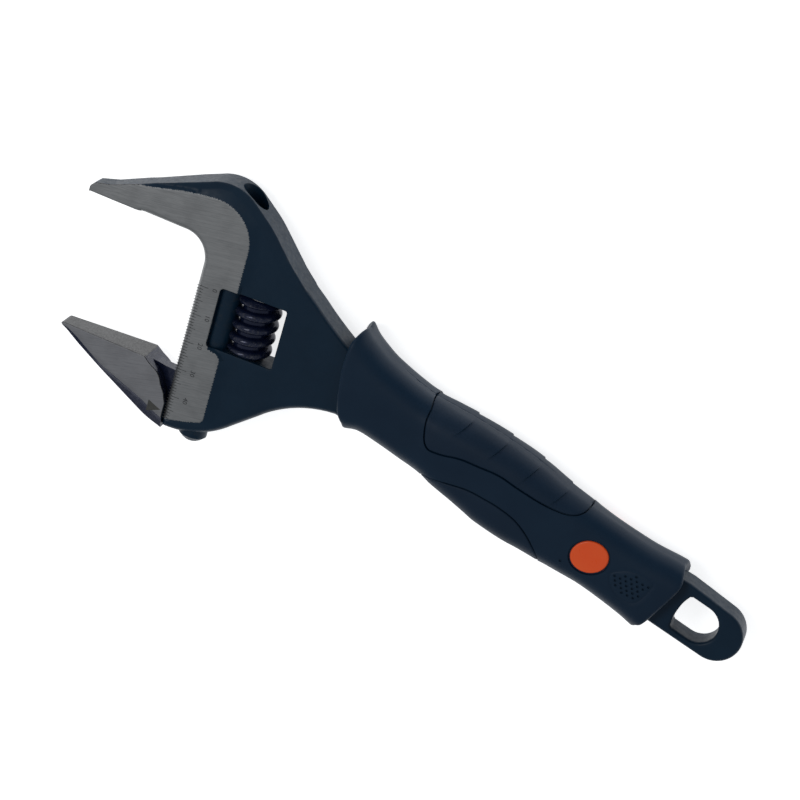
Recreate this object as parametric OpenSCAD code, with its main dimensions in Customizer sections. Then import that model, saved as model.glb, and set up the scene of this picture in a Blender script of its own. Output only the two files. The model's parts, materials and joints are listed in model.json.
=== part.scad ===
// Adjustable wrench with thin wide-opening jaws, a moulded grip and a hanging end.
// Millimetres. It lies on its side: X runs along the handle towards the hanging end, Z is up,
// and the origin is the middle of its bounding box, at the bottom.

/* [Wrench] */
// Length over the fixed jaw's tip and the hanging end
overall_length = 255; // [248:1:262]
// Angle between the jaws and the handle, in degrees
head_angle = 15; // [14:0.5:16]
// Height of the throat corner above the handle's axis
head_rise = 15; // [14:0.5:16]
// Gap between the gripping faces as drawn
opening = 46; // [1:0.5:50]

/* [Head] */
// Thickness over the ground lands
land_t = 12.8; // [12.4:0.1:13.4]
// Thickness of the forging beside the lands
head_t = 11.2; // [11:0.1:11.6]
// Reach of the fixed jaw from the slide edge
jaw_reach = 43.5; // [41:0.5:46]
// Thickness of the fixed jaw at its tip
fixed_tip_t = 5.8; // [5.4:0.1:8]
// Radius of the throat between the fixed jaw and the slide edge
throat_r = 8.5; // [7:0.5:9.5]
// Width of the ground land beside the slide edge
land_w = 13.7; // [13:0.1:15]
// Length of the slide edge from the fixed jaw's face to the head's foot
slide_l = 68; // [67:0.5:69]
// Radius of the head's crown
crown_r = 15; // [13:0.5:17]

/* [Movable jaw] */
// Reach of the movable jaw from the slide edge
blade_reach = 41.7; // [39:0.1:44]
// Depth of the movable jaw where it meets the slide edge
blade_h = 23.3; // [21:0.1:24]
// Thickness of the movable jaw at its tip
blade_tip_t = 7.4; // [6:0.1:8]
// Thickness of the web between the blade and the guide
web_t = 4.6; // [4:0.1:5]
// Diameter of the round guide that slides in the head
guide_d = 9.4; // [9:0.1:9.5]
// Distance of the guide's axis behind the slide edge
guide_in = 10; // [9.8:0.1:10.2]

/* [Adjuster] */
// Outer diameter of the worm
worm_d = 15; // [14.8:0.1:15.2]
// Diameter at the root of the worm's thread
worm_root_d = 10.8; // [10.6:0.1:11]
// Pitch of the worm and of the rack
pitch = 4.4; // [4.3:0.1:4.5]
// Distance of the worm's axis behind the slide edge
worm_in = 20.8; // [20.6:0.1:21]
// Diameter of the worm's pin
pin_d = 3.2; // [3:0.1:3.6]

/* [Grip] */
// Greatest thickness of the grip
grip_t = 22; // [20:0.5:24]
// Depth of the soft pads
pad_depth = 1.8; // [1.4:0.1:2.2]
// Width of the groove round each pad
groove_w = 0.35; // [0.2:0.05:0.5]
// Long diameter of the oval badge
badge_l = 13.2; // [12:0.1:14]
// Short diameter of the oval badge
badge_w = 11.2; // [10:0.1:12]

/* [Hidden] */
$fn = 96;

slip = 0.1;              // sliding clearance on each side
running = 0.06;          // radial clearance of round running fits
through = 60;            // longer than anything it cuts through
tip_h = 1.8;             // height of the fixed jaw's blunt tip
tip_rise = 3.4;          // depth of the fixed jaw just behind its tip
jaw_slope = 21.6;        // slope of the fixed jaw's back, in degrees
shoulder_slope = 40;     // slope of the head's outer edge, in degrees
land_slope = 10;         // slope of the land's upper boundary, in degrees
window_top = 14.2;       // adjuster window, along the slide
window_bottom = 35;
window_near = 8.2;       // adjuster window, behind the slide edge
window_far = 31;
worm_gap = 0.3;          // end play of the worm in its window
worm_top = window_top + worm_gap;
worm_l = window_bottom - window_top - 2 * worm_gap;
thread_w = 3.1;          // width of the thread at its root
rack_start = -33.7;      // first gap of the rack, from the movable jaw's face
rack_teeth = 14;         // number of gaps in the rack
spring_r = 2.9;          // outer radius of the spring, and of its pocket in the worm
pocket_l = 5;            // depth of that pocket
pin_end = window_top - 5;    // where the worm's pin lies, along the slide
pin_neck = window_bottom + 9;
pin_foot = slide_l - 10.5;
pin_head_d = pin_d + 1.8;
guide_above = 34;        // length of guide above the movable jaw's face
guide_below = 23;         // length of guide below it
guide_point = 2.4;        // length of the guide's chamfered end
shank_t = 8.4;           // thickness of the shank inside the grip
shank_half = 7.2;        // half its height
shank_start = 72;        // where it starts, behind the neck
eye_start = 182;         // where it widens into the hanging end
eye_t = 9;               // thickness of the hanging end
eye_r = 9.3;             // half its height
eye_lift = 0.4;          // its offset above the handle's axis
hole_r = 6.5;            // half height of the hanging hole
hole_l = 14.3;           // its length

ca = cos(head_angle);
sa = sin(head_angle);
bore_r = guide_d / 2 + running;
tip_x = -jaw_reach * ca - tip_h * sa;
end_x = tip_x + overall_length;

// Points on an arc about a centre, from one direction to another
function arc(centre, r, from, to, n = 12) =
    [for (i = [0:n]) let (a = from + (to - from) * i / n) centre + r * [cos(a), sin(a)]];

// Handle-frame point seen in the head's frame, which is turned half round and tilted by the head angle
function to_head(p) = [-p.x * ca - (p.y - head_rise) * sa, p.x * sa - (p.y - head_rise) * ca];

// The crown: a fillet between the jaw's back and the head's outer edge
jaw_back = [jaw_reach - 1.7, -tip_rise];
outer_start = [-31.4, 0];
crown_corner = let (k1 = tan(jaw_slope), k2 = -tan(shoulder_slope),
        u = (jaw_back.y - k1 * jaw_back.x - outer_start.y + k2 * outer_start.x) / (k2 - k1))
    [u, jaw_back.y + k1 * (u - jaw_back.x)];
crown_half = (jaw_slope + shoulder_slope) / 2;
crown_centre = crown_corner + crown_r / cos(crown_half)
    * [sin((shoulder_slope - jaw_slope) / 2), cos((shoulder_slope - jaw_slope) / 2)];

// Corners of the whole wrench, which place it on its origin
blade_foot = [slip, opening + blade_h];
guide_foot = [-guide_in + guide_d / 4, opening + guide_below + guide_point];
function depth(p) = head_rise - p.x * sa - p.y * ca;
top_y = head_rise - crown_centre.x * sa - crown_centre.y * ca + crown_r;
low_y = min(depth(blade_foot), depth(guide_foot));

// Puts the wrench on its origin
module placed() {
    translate([-(tip_x + end_x) / 2, -(top_y + low_y) / 2, grip_t / 2]) children();
}

// Turns the head's frame into the wrench's: X towards the jaw tips, Y along the slide
module in_head() {
    placed() translate([0, head_rise, 0]) rotate([0, 0, 180 + head_angle]) children();
}

// A flat outline given thickness about the middle plane
module plate(t) {
    linear_extrude(height = t, center = true) children();
}

// Two flanks that thin a jaw from its root to its tip
module jaw_taper(root, reach, root_t, tip_t) {
    rotate([90, 0, 0]) linear_extrude(height = 4 * through, center = true)
        polygon([[-2 * through, root_t / 2], [root, root_t / 2], [reach, tip_t / 2],
            [reach, -tip_t / 2], [root, -root_t / 2], [-2 * through, -root_t / 2]]);
}

// Outline of the forged head and its neck
module head_outline() {
    neck_foot = [-57, slide_l - 25.6];
    foot_r = 30;
    neck_r = 38;
    foot_turn = 44;
    foot_centre = [-2, slide_l - foot_r];
    neck_centre = neck_foot + [0, neck_r];
    polygon(concat(
        [[jaw_reach, 0], [jaw_reach, -tip_h], jaw_back],
        arc(crown_centre, crown_r, -90 + jaw_slope, -90 - shoulder_slope),
        [for (p = [[28.2, 22.6], [35, 19], [47, 14], [60, shank_half + 2.2], [shank_start, shank_half],
            [shank_start, -shank_half], [68, -9.4]]) to_head(p)],
        arc(neck_centre, neck_r, -90, -90 + foot_turn, 8),
        arc(foot_centre, foot_r, 90 + foot_turn, 90, 8),
        [[0, slide_l]],
        arc([throat_r, throat_r], throat_r, 180, 270)));
}

// Outline of the raised ground land: along the jaw, round the throat and down the slide edge
module land_outline() {
    start = land_w * [sin(land_slope), -cos(land_slope)];
    meet = (jaw_back.y - tan(jaw_slope) * jaw_back.x - start.y + tan(land_slope) * start.x)
        / (tan(land_slope) - tan(jaw_slope));
    corner_r = 2;
    foot = slide_l - 6.5;
    polygon(concat(
        [[jaw_reach, 0], [jaw_reach, -tip_h], jaw_back,
            [meet, jaw_back.y + tan(jaw_slope) * (meet - jaw_back.x)]],
        arc([0, 0], land_w, -90 + land_slope, -180),
        arc([-land_w + corner_r, foot - corner_r], corner_r, 180, 90, 5),
        [[0, foot + 3.3]],
        arc([throat_r, throat_r], throat_r, 180, 270)));
}

// The cut that takes the movable jaw: a round bore with a slot to the slide edge
module slide_cut() {
    slot_top = 1.6;
    translate([-guide_in, -through / 2, 0]) rotate([-90, 0, 0])
        cylinder(r = bore_r, h = slide_l + through);
    translate([-guide_in, slot_top, -web_t / 2 - slip])
        cube([guide_in + throat_r + 1, slide_l, web_t + 2 * slip]);
}

// The worm's window through both faces, with a small corner radius
module worm_window() {
    r = 1;
    plate(through) translate([-window_far + r, window_top + r]) offset(r)
        square([window_far - window_near - 2 * r, window_bottom - window_top - 2 * r]);
}

// A round hole or shaft on the worm's axis
module on_worm_axis(from, to, r) {
    translate([-worm_in, from, 0]) rotate([-90, 0, 0]) cylinder(r = r, h = to - from);
}

// Outline of the hanging end and its hole
module eye_outline() {
    translate([end_x - eye_r, eye_lift]) circle(eye_r);
    translate([eye_start, eye_lift - eye_r]) square([end_x - eye_r - eye_start, 2 * eye_r]);
}

module eye_hole() {
    right = end_x - 8.9;
    corner = 1.2;
    hull() {
        translate([right - hole_r, eye_lift]) circle(hole_r);
        for (side = [-1, 1])
            translate([right - hole_l + corner, eye_lift + side * (hole_r - corner)]) circle(corner);
    }
}

// Fixed jaw, head, shank and hanging end: one forging
module body() {
    color([0.07, 0.09, 0.12]) {
        difference() {
            union() {
                in_head() {
                    intersection() {
                        union() {
                            plate(head_t) head_outline();
                            plate(land_t) land_outline();
                        }
                        jaw_taper(16, jaw_reach, land_t, fixed_tip_t);
                    }
                }
                placed() {
                    plate(shank_t) translate([shank_start - 2, -shank_half])
                        square([eye_start - shank_start + 4, 2 * shank_half]);
                    plate(eye_t) eye_outline();
                }
            }
            in_head() {
                slide_cut();
                worm_window();
                on_worm_axis(pin_end, window_bottom + 10, pin_d / 2 + running);
                on_worm_axis(pin_neck - 0.5, slide_l + 9, pin_head_d / 2 + running);
            }
            placed() plate(through) eye_hole();
        }
    }
}

// Blade of the movable jaw, thickest on its ground face, with bevelled flanks underneath
module blade() {
    flank_t = 8.4;
    low = [[blade_reach, 0], [blade_reach, 0.8], [33.6, 5.2], [16.7, 14.6], [slip, blade_h]];
    ground = [[blade_reach, 0], [blade_reach, 0.8], [34, 3.9], [16.7, 11.8], [slip, blade_h - 4.5]];
    intersection() {
        hull() {
            plate(flank_t) polygon(concat([[slip, 0]], low));
            plate(land_t) polygon(concat([[slip, 0]], ground));
        }
        jaw_taper(9, blade_reach, land_t, blade_tip_t);
    }
}

// One gap of the rack: a disc shaped like a turn of the worm's thread, with room to run
module rack_gap() {
    play = 0.22;
    half = thread_w / 2 + play;
    root = worm_root_d / 2 - 1.5;
    crest = worm_d / 2 + play;
    rotate([90, 0, 0]) rotate_extrude()
        polygon([[0, -half], [root, -half], [root + 2.4, -half * 0.86], [crest, -half * 0.4],
            [crest, half * 0.4], [root + 2.4, half * 0.86], [root, half], [0, half]]);
}

// Movable jaw: blade, web, round guide and rack in one forging
module movable_jaw() {
    scallop = [[9.5, -1], [9.5, 0], [6.5, 2.6], [4, 6], [slip, 11.5], [-1, 11.5], [-1, -1]];
    web_top = [[9.5, 0.2], [6.7, 1.3], [3.6, 2.1], [-guide_in, 2.3]];
    lead_tilt = atan(pitch / (PI * (worm_d + worm_root_d) / 2));
    color([0.30, 0.31, 0.32]) in_head() translate([0, opening, 0]) {
        difference() {
            union() {
                difference() {
                    blade();
                    plate(through) polygon(scallop);
                }
                plate(web_t) polygon(concat(web_top, [[-guide_in, blade_h - 0.6],
                    [slip, blade_h - 0.6], [9.5, 11]]));
                translate([-guide_in, -guide_above, 0]) rotate([-90, 0, 0])
                    cylinder(d = guide_d, h = guide_above + guide_below);
                translate([-guide_in, guide_below, 0]) rotate([-90, 0, 0])
                    cylinder(d1 = guide_d, d2 = guide_d / 2, h = guide_point);
            }
            for (k = [0:rack_teeth - 1])
                translate([-worm_in, rack_start + k * pitch, 0]) rotate([lead_tilt, 0, 0]) rack_gap();
        }
    }
}

// Radius of the worm's surface at a height along its axis and an angle about it
function thread_phase(h, a) =
    let (p = (h - (rack_start + opening - worm_top)) / pitch - (a - 90) / 360) (p - round(p)) * pitch;
function thread_r(h, a) =
    let (s = 2 * abs(thread_phase(h, a)) / thread_w, edge = min(h, worm_l - h),
        r = worm_root_d / 2 + (worm_d - worm_root_d) / 2 * (s < 1 ? sqrt(1 - s * s) : 0))
    min(r, worm_root_d / 2 + 0.6 + 1.5 * edge);

// Screw-shaped body whose radius follows the thread
module thread_body() {
    turns = 40;
    rings = 50;
    points = [for (j = [0:rings], i = [0:turns - 1])
        let (a = 360 * i / turns, h = worm_l * j / rings, r = thread_r(h, a))
        [r * sin(a), h, r * cos(a)]];
    sides = [for (j = [0:rings - 1], i = [0:turns - 1])
        let (n = (i + 1) % turns, p = j * turns, q = p + turns) [p + i, q + i, q + n, p + n]];
    polyhedron(points, concat(sides, [[for (i = [0:turns - 1]) i],
        [for (i = [turns - 1:-1:0]) rings * turns + i]]), convexity = 10);
}

// The thumb worm, bored for its pin and pocketed for its spring
module worm() {
    color([0.08, 0.09, 0.12]) difference() {
        in_head() translate([-worm_in, worm_top, 0]) thread_body();
        in_head() on_worm_axis(worm_top - 1, worm_top + worm_l + 1, pin_d / 2 + running);
        in_head() on_worm_axis(worm_top + worm_l - pocket_l, worm_top + worm_l + 1, spring_r + 0.2);
    }
}

// The pin that the worm turns on, screwed in from the head's foot
module worm_pin() {
    slot_w = 0.9;
    slot_d = 1.2;
    color([0.35, 0.36, 0.38]) in_head() difference() {
        union() {
            on_worm_axis(pin_end + 0.3, pin_neck, pin_d / 2);
            on_worm_axis(pin_neck, pin_foot, pin_head_d / 2);
        }
        translate([-worm_in, pin_foot, 0]) cube([slot_w, 2 * slot_d, 2 * pin_head_d], center = true);
    }
}

// Points of a closed tube swept along a coil
function coil_point(t, wire_r, mean_r, length, turns, b) =
    let (a = 360 * turns * t, r = mean_r + wire_r * cos(b))
    [r * sin(a), wire_r + (length - 2 * wire_r) * t + wire_r * sin(b), r * cos(a)];

// Compression spring that takes up the worm's end play
module worm_spring() {
    wire_r = 0.35;
    turns = 5;
    steps = 90;
    sides = 8;
    length = pocket_l + worm_gap - 0.1;
    mean_r = spring_r - wire_r - 0.05;
    points = [for (j = [0:steps], i = [0:sides - 1])
        coil_point(j / steps, wire_r, mean_r, length, turns, 360 * i / sides)];
    tube = [for (j = [0:steps - 1], i = [0:sides - 1])
        let (n = (i + 1) % sides, p = j * sides, q = p + sides) [p + i, p + n, q + n, q + i]];
    color([0.55, 0.56, 0.58]) in_head()
        translate([-worm_in, worm_top + worm_l - pocket_l + 0.05, 0])
        polyhedron(points, concat(tube, [[for (i = [sides - 1:-1:0]) i],
            [for (i = [0:sides - 1]) steps * sides + i]]), convexity = 10);
}

// Stations along the grip: place, lower edge, upper edge, half thickness and corner radius
stations = [
    [55, -13.5, 20.5, 0.95, 6],
    [61, -13.4, 17.6, 0.95, 6],
    [67, -13.2, 15.4, 0.95, 6],
    [75, -11, 13.8, 0.96, 6],
    [83, -10.8, 13, 0.98, 6],
    [96, -10.9, 13.5, 1, 6],
    [108, -12.5, 14.4, 1, 6],
    [120, -13.9, 14.6, 1, 6],
    [134, -13.5, 13.5, 0.96, 5.5],
    [146, -12.9, 12.5, 0.9, 5],
    [158, -12.1, 12.2, 0.86, 4.5],
    [169, -12.2, 12.3, 0.86, 4.5],
    [180, -13.2, 13.5, 0.88, 4.5],
    [185.5, -13.4, 13.9, 0.86, 4.5]];

// A thin slice of the grip at one station, moved in from its surface
module slice(s, inset) {
    r = s[4] - inset;
    half = s[3] * grip_t / 2 - inset;
    translate([s[0], 0, 0]) hull() for (y = [s[1] + inset + r, s[2] - inset - r], z = [r - half, half - r])
        translate([0, y, z]) rotate([0, 90, 0]) cylinder(r = r, h = 0.02, $fn = 32);
}

// The grip's outer form, moved in from its surface
module grip_form(inset) {
    for (i = [0:len(stations) - 2]) hull() {
        slice(stations[i], inset);
        slice(stations[i + 1], inset);
    }
}

// Outline that keeps the collar's slanted front rim and the rounded rear rim
module grip_trim() {
    polygon([[57, 30], [56.6, 16], [57, 11], [58.4, 5.6], [60, 1.5], [63.3, -5.8], [67.6, -13],
        [68, -30], [180.4, -30], [180.4, -12.7], [183, -10.5], [184.6, -5], [185.4, 3], [185.2, 9],
        [183, 12], [182, 30]]);
}

// Outline of the pad under the fingers' upper side
module upper_outline() {
    offset(1.5) offset(-1.5) polygon([[87, 30], [88, 11], [90, 6], [92, 1.8], [95.5, -0.4],
        [99.5, 0.3], [105, 3], [112, 4.9], [119, 6], [134, 6.3], [142.5, 7.6], [147, 10], [148.4, 13],
        [148, 30]]);
}

// Outline of the pad under the palm
module lower_outline() {
    polygon([[95, -30], [97.5, -9.6], [104, -6.8], [113, -3.7], [120, -2.7], [126, -2.6],
        [131, -3.3], [136, -5.2], [141, -8.5], [144.5, -11.8], [147, -30]]);
}

// Oval badge outline, set across the grip
module badge_outline(grow) {
    badge_turn = 42;
    translate([156.7, 0.2]) rotate(badge_turn) polygon([for (a = [0:10:350])
        [(badge_l / 2 + grow) * cos(a), (badge_w / 2 + grow) * sin(a)]]);
}

// Moulded grip over the shank, with beds for the pads and badges
module grip_sleeve() {
    bed = pad_depth;
    badge_bed = 1.2;
    face = stations[10][3] * grip_t / 2;
    color([0.06, 0.08, 0.11]) difference() {
        placed() intersection() {
            grip_form(0);
            plate(through) grip_trim();
        }
        placed() difference() {
            plate(through) {
                upper_outline();
                lower_outline();
            }
            grip_form(bed);
        }
        placed() for (side = [-1, 1]) translate([0, 0, side * face])
            plate(2 * badge_bed) badge_outline(0.1);
        placed() plate(shank_t + 0.1) translate([60, -shank_half - 0.05])
            square([130, 2 * shank_half + 0.1]);
        in_head() plate(head_t + 0.1) offset(0.05) head_outline();
        placed() plate(eye_t + 0.1) offset(0.05) eye_outline();
    }
}

// A soft pad that fills its bed but for the groove round it
module pad() {
    placed() difference() {
        intersection() {
            grip_form(0);
            plate(through) offset(-groove_w) children();
        }
        grip_form(pad_depth - 0.05);
    }
}

// Ribbed upper pad, which wraps over the top of the grip
module upper_pad() {
    color([0.07, 0.08, 0.11]) pad() upper_outline();
}

// Smooth lower pad, which wraps round the bottom of the grip
module lower_pad() {
    color([0.08, 0.09, 0.12]) pad() lower_outline();
}

// One oval badge, slightly proud of the grip
module badge(side) {
    face = stations[10][3] * grip_t / 2;
    badge_t = 1.3;
    color([0.85, 0.30, 0.13]) placed() translate([0, 0, side * (face - 0.45)])
        plate(badge_t) badge_outline(0);
}

module front_badge() {
    badge(1);
}

module back_badge() {
    badge(-1);
}

body();
movable_jaw();
worm();
worm_pin();
worm_spring();
grip_sleeve();
upper_pad();
lower_pad();
front_badge();
back_badge();
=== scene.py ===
"""Adjustable wrench: the finished looks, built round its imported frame.

Every piece is worked out in the wrench's own millimetres: X runs along the handle from the slide
corner, Y is up towards the fixed jaw's side, and Z is out of the face from the middle plane.
"""

import json
import logging
import math
from collections.abc import Callable, Sequence
from dataclasses import dataclass, field
from enum import Enum

import bmesh
import bpy
import numpy as np
from mathutils import Matrix, Vector
from mathutils.geometry import delaunay_2d_cdt


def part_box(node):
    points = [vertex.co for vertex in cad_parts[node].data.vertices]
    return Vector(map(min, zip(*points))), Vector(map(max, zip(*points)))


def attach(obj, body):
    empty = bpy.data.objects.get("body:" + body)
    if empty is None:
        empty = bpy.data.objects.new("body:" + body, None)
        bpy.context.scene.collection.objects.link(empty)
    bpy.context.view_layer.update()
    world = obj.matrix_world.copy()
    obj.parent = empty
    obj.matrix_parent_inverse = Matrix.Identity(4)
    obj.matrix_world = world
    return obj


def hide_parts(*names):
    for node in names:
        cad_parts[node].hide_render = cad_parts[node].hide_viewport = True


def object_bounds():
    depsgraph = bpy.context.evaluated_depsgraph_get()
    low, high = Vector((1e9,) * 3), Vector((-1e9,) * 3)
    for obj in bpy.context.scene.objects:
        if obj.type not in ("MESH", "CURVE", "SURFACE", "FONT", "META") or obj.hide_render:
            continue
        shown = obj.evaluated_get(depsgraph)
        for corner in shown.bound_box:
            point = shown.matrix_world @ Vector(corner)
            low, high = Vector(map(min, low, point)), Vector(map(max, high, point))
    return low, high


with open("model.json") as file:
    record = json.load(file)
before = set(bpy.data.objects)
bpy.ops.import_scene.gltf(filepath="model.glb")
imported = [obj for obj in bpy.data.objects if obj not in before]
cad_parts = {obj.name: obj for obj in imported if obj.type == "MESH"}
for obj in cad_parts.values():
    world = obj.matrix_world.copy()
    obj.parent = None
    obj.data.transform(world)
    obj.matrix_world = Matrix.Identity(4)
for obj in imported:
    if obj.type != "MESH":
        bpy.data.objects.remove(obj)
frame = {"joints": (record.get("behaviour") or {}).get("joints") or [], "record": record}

log = logging.getLogger("wrench")
MM = 0.001
Points = np.ndarray
CAD_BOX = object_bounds()


# ---------------------------------------------------------------- layout


@dataclass(frozen=True)
class Layout:
    """Where the wrench's own axes lie in the row frame.

    Attributes:
        offset: what is added to the wrench's millimetres to give the row's.
        angle: the head's angle to the handle, in radians.
        rise: height of the slide corner above the handle's axis, mm.
        opening: gap between the gripping faces at rest, mm.
        end_x: the far end of the hanging eye, mm.
        worm: the worm's axis in the head's frame, as its distance u and its middle v, mm.
        worm_r: outer radius of the worm, mm.
    """

    offset: Points
    angle: float
    rise: float
    opening: float
    end_x: float
    worm: tuple[float, float]
    worm_r: float

    @classmethod
    def from_record(cls, record: dict, joints: Sequence[dict]) -> "Layout":
        """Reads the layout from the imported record.

        Args:
            record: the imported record.
            joints: the row's joints.

        Returns:
            The layout.
        """
        rise, face_u, blade_u = 15.0, 30.0, 28.0
        mounts = {m["name"]: m for m in record["mounts"]}
        fixed, moving = mounts["fixed_jaw_face"], mounts["movable_jaw_face"]
        v = np.array(fixed["axis"][:2], float)
        u = np.array([v[1], -v[0]])
        corner = np.array(fixed["pos_m"][:2]) / MM - face_u * u
        gap = float((np.array(moving["pos_m"][:2]) / MM - corner - blade_u * u) @ v)
        offset = np.array([corner[0], corner[1] - rise, fixed["pos_m"][2] / MM])
        spin = next(j for j in joints if j["name"] == "worm_spin")
        axis = np.array(spin["pos_m"][:2]) / MM - corner
        low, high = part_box("worm")
        return cls(offset, math.atan2(v[0], -v[1]), rise, gap,
                   float(CAD_BOX[1][0]) / MM - offset[0],
                   (float(axis @ u), float(axis @ v)), (high.z - low.z) / MM / 2)

    def head(self, uv: Points) -> Points:
        """Turns head coordinates (u, v) into the wrench's (x, y)."""
        uv = np.atleast_2d(np.asarray(uv, float))
        c, s = math.cos(self.angle), math.sin(self.angle)
        return np.stack([-uv[:, 0] * c + uv[:, 1] * s,
                         self.rise - uv[:, 0] * s - uv[:, 1] * c], 1)

    def to_head(self, xy: Points) -> Points:
        """Turns the wrench's (x, y) into head coordinates (u, v)."""
        xy = np.atleast_2d(np.asarray(xy, float))
        c, s = math.cos(self.angle), math.sin(self.angle)
        x, y = xy[:, 0], xy[:, 1] - self.rise
        return np.stack([-x * c - y * s, x * s - y * c], 1)

    def row(self, xyz: Points) -> Points:
        """Turns the wrench's millimetres into the row's metres."""
        return (np.atleast_2d(np.asarray(xyz, float)) + self.offset) * MM

    def head_row(self, uvz: Points) -> Points:
        """Turns head points (u, v, z) in millimetres into the row's metres."""
        uvz = np.atleast_2d(np.asarray(uvz, float))
        return self.row(np.column_stack([self.head(uvz[:, :2]), uvz[:, 2]]))

    def axis_start(self, u: float) -> Points:
        """Where an axis along the slide starts: on the middle plane, beside the slide edge by u."""
        return np.append(self.head([[u, 0]])[0], 0.0)

    @property
    def u_dir(self) -> Vector:
        """The head's u direction in the row."""
        return Vector((-math.cos(self.angle), -math.sin(self.angle), 0))

    @property
    def v_dir(self) -> Vector:
        """The head's v direction in the row: the way the movable jaw opens."""
        return Vector((math.sin(self.angle), -math.cos(self.angle), 0))


LAYOUT = Layout.from_record(frame["record"], frame["joints"])


# ---------------------------------------------------------------- plane curves


def arc(centre: Sequence[float], r: float, start: float, end: float, n: int = 16) -> Points:
    """Points along an arc, with angles in degrees."""
    a = np.radians(np.linspace(start, end, n + 1))
    return np.asarray(centre, float) + r * np.stack([np.cos(a), np.sin(a)], 1)


def resample(path: Points, step: float, closed: bool = True) -> Points:
    """Spaces points evenly along a path but keeps its sharp corners.

    Args:
        path: the path's corners.
        step: the greatest distance between points.
        closed: whether the path returns to its start.

    Returns:
        The new points; a closed path doesn't repeat its first.
    """
    path = np.asarray(path, float)
    ends = np.roll(path, -1, 0) if closed else path[1:]
    out: list[Points] = []
    for a, b in zip(path, ends):
        n = max(1, int(math.ceil(np.linalg.norm(b - a) / step)))
        out.append(a + (b - a) * np.arange(n)[:, None] / n)
    if not closed:
        out.append(path[-1:])
    joined = np.concatenate(out)
    keep = np.linalg.norm(np.diff(joined, axis=0, append=joined[:1] + (0 if closed else 9)), axis=1) > 1e-6
    return joined[keep]


def round_corners(path: Points, radii: Sequence[float], n: int = 6) -> Points:
    """Replaces each corner of a closed path with an arc of its radius."""
    path = np.asarray(path, float)
    out: list[Points] = []
    for i, r in enumerate(radii):
        p, a, b = path[i], path[i - 1] - path[i], path[(i + 1) % len(path)] - path[i]
        a, b = a / np.linalg.norm(a), b / np.linalg.norm(b)
        half = math.acos(max(-1.0, min(1.0, float(a @ b)))) / 2
        if r <= 0 or abs(half - math.pi / 2) < 1e-3:
            out.append(p[None])
            continue
        cut = r / math.tan(half)
        t = np.linspace(0, 1, n + 1)[:, None]
        centre = p + (a + b) / np.linalg.norm(a + b) * r / math.sin(half)
        start, end = p + a * cut - centre, p + b * cut - centre
        blend = start * (1 - t) + end * t
        out.append(centre + blend / np.linalg.norm(blend, axis=1)[:, None] * r)
    return np.concatenate(out)


def smooth_curve(knots: Sequence[Sequence[float]], step: float = 0.5) -> Points:
    """A Catmull-Rom curve through open knots, evenly sampled."""
    k = np.asarray(knots, float)
    k = np.vstack([2 * k[0] - k[1], k, 2 * k[-1] - k[-2]])
    out = []
    for i in range(1, len(k) - 2):
        n = max(2, int(np.linalg.norm(k[i + 1] - k[i]) / step))
        t = np.linspace(0, 1, n, endpoint=False)[:, None]
        out.append(0.5 * (2 * k[i] + (k[i + 1] - k[i - 1]) * t
                          + (2 * k[i - 1] - 5 * k[i] + 4 * k[i + 1] - k[i + 2]) * t ** 2
                          + (3 * k[i] - k[i - 1] - 3 * k[i + 1] + k[i + 2]) * t ** 3))
    return np.vstack(out + [k[-2:-1]])


def table(knots: Sequence[Sequence[float]]) -> Callable[[Points], Points]:
    """A smooth function through (x, value) knots."""
    curve = smooth_curve(knots, 0.25)
    order = np.argsort(curve[:, 0])
    return lambda x: np.interp(x, curve[order, 0], curve[order, 1])


def beside(path: Points, d: float, closed: bool) -> Points:
    """A copy of a path moved to its left."""
    t = np.roll(path, -1, 0) - np.roll(path, 1, 0) if closed else np.gradient(path, axis=0)
    t = t / np.maximum(np.linalg.norm(t, axis=1), 1e-9)[:, None]
    return path + d * np.stack([-t[:, 1], t[:, 0]], 1)


def area(loop: Points) -> float:
    """Signed area of a closed loop."""
    nxt = np.roll(loop, -1, 0)
    return float(np.sum(loop[:, 0] * nxt[:, 1] - loop[:, 1] * nxt[:, 0]) / 2)


def distance(points: Points, loop: Points, closed: bool = True) -> tuple[Points, Points]:
    """Distance of points to a path.

    Args:
        points: the points.
        loop: the path.
        closed: whether the path returns to its start.

    Returns:
        The distances, and for each point the index of the nearest segment's start.
    """
    a = loop if closed else loop[:-1]
    b = np.roll(loop, -1, 0) if closed else loop[1:]
    d = b - a
    length = np.maximum((d ** 2).sum(1), 1e-12)
    best, index = [], []
    for start in range(0, len(points), 1500):
        p = points[start:start + 1500, None, :]
        t = np.clip(((p - a) * d).sum(2) / length, 0, 1)
        gap = ((p - a - t[..., None] * d) ** 2).sum(2)
        k = gap.argmin(1)
        best.append(np.sqrt(gap[np.arange(len(k)), k]))
        index.append(k)
    return np.concatenate(best), np.concatenate(index)


def inside(points: Points, loop: Points) -> Points:
    """Whether each point lies inside a closed loop."""
    a, b = loop, np.roll(loop, -1, 0)
    out = np.zeros(len(points), bool)
    for start in range(0, len(points), 3000):
        p = points[start:start + 3000, None, :]
        cross = (a[:, 1] > p[..., 1]) != (b[:, 1] > p[..., 1])
        with np.errstate(divide="ignore", invalid="ignore"):
            x = a[:, 0] + (p[..., 1] - a[:, 1]) * (b[:, 0] - a[:, 0]) / (b[:, 1] - a[:, 1])
        out[start:start + 3000] = (cross & (p[..., 0] < x)).sum(1) % 2 == 1
    return out


def signed(points: Points, loop: Points) -> Points:
    """Distance to a closed loop, positive inside it."""
    return np.where(inside(points, loop), 1.0, -1.0) * distance(points, loop)[0]


def step_up(x: Points, low: float, high: float) -> Points:
    """Smooth step from 0 at low to 1 at high."""
    t = np.clip((x - low) / (high - low), 0, 1)
    return t * t * (3 - 2 * t)


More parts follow.
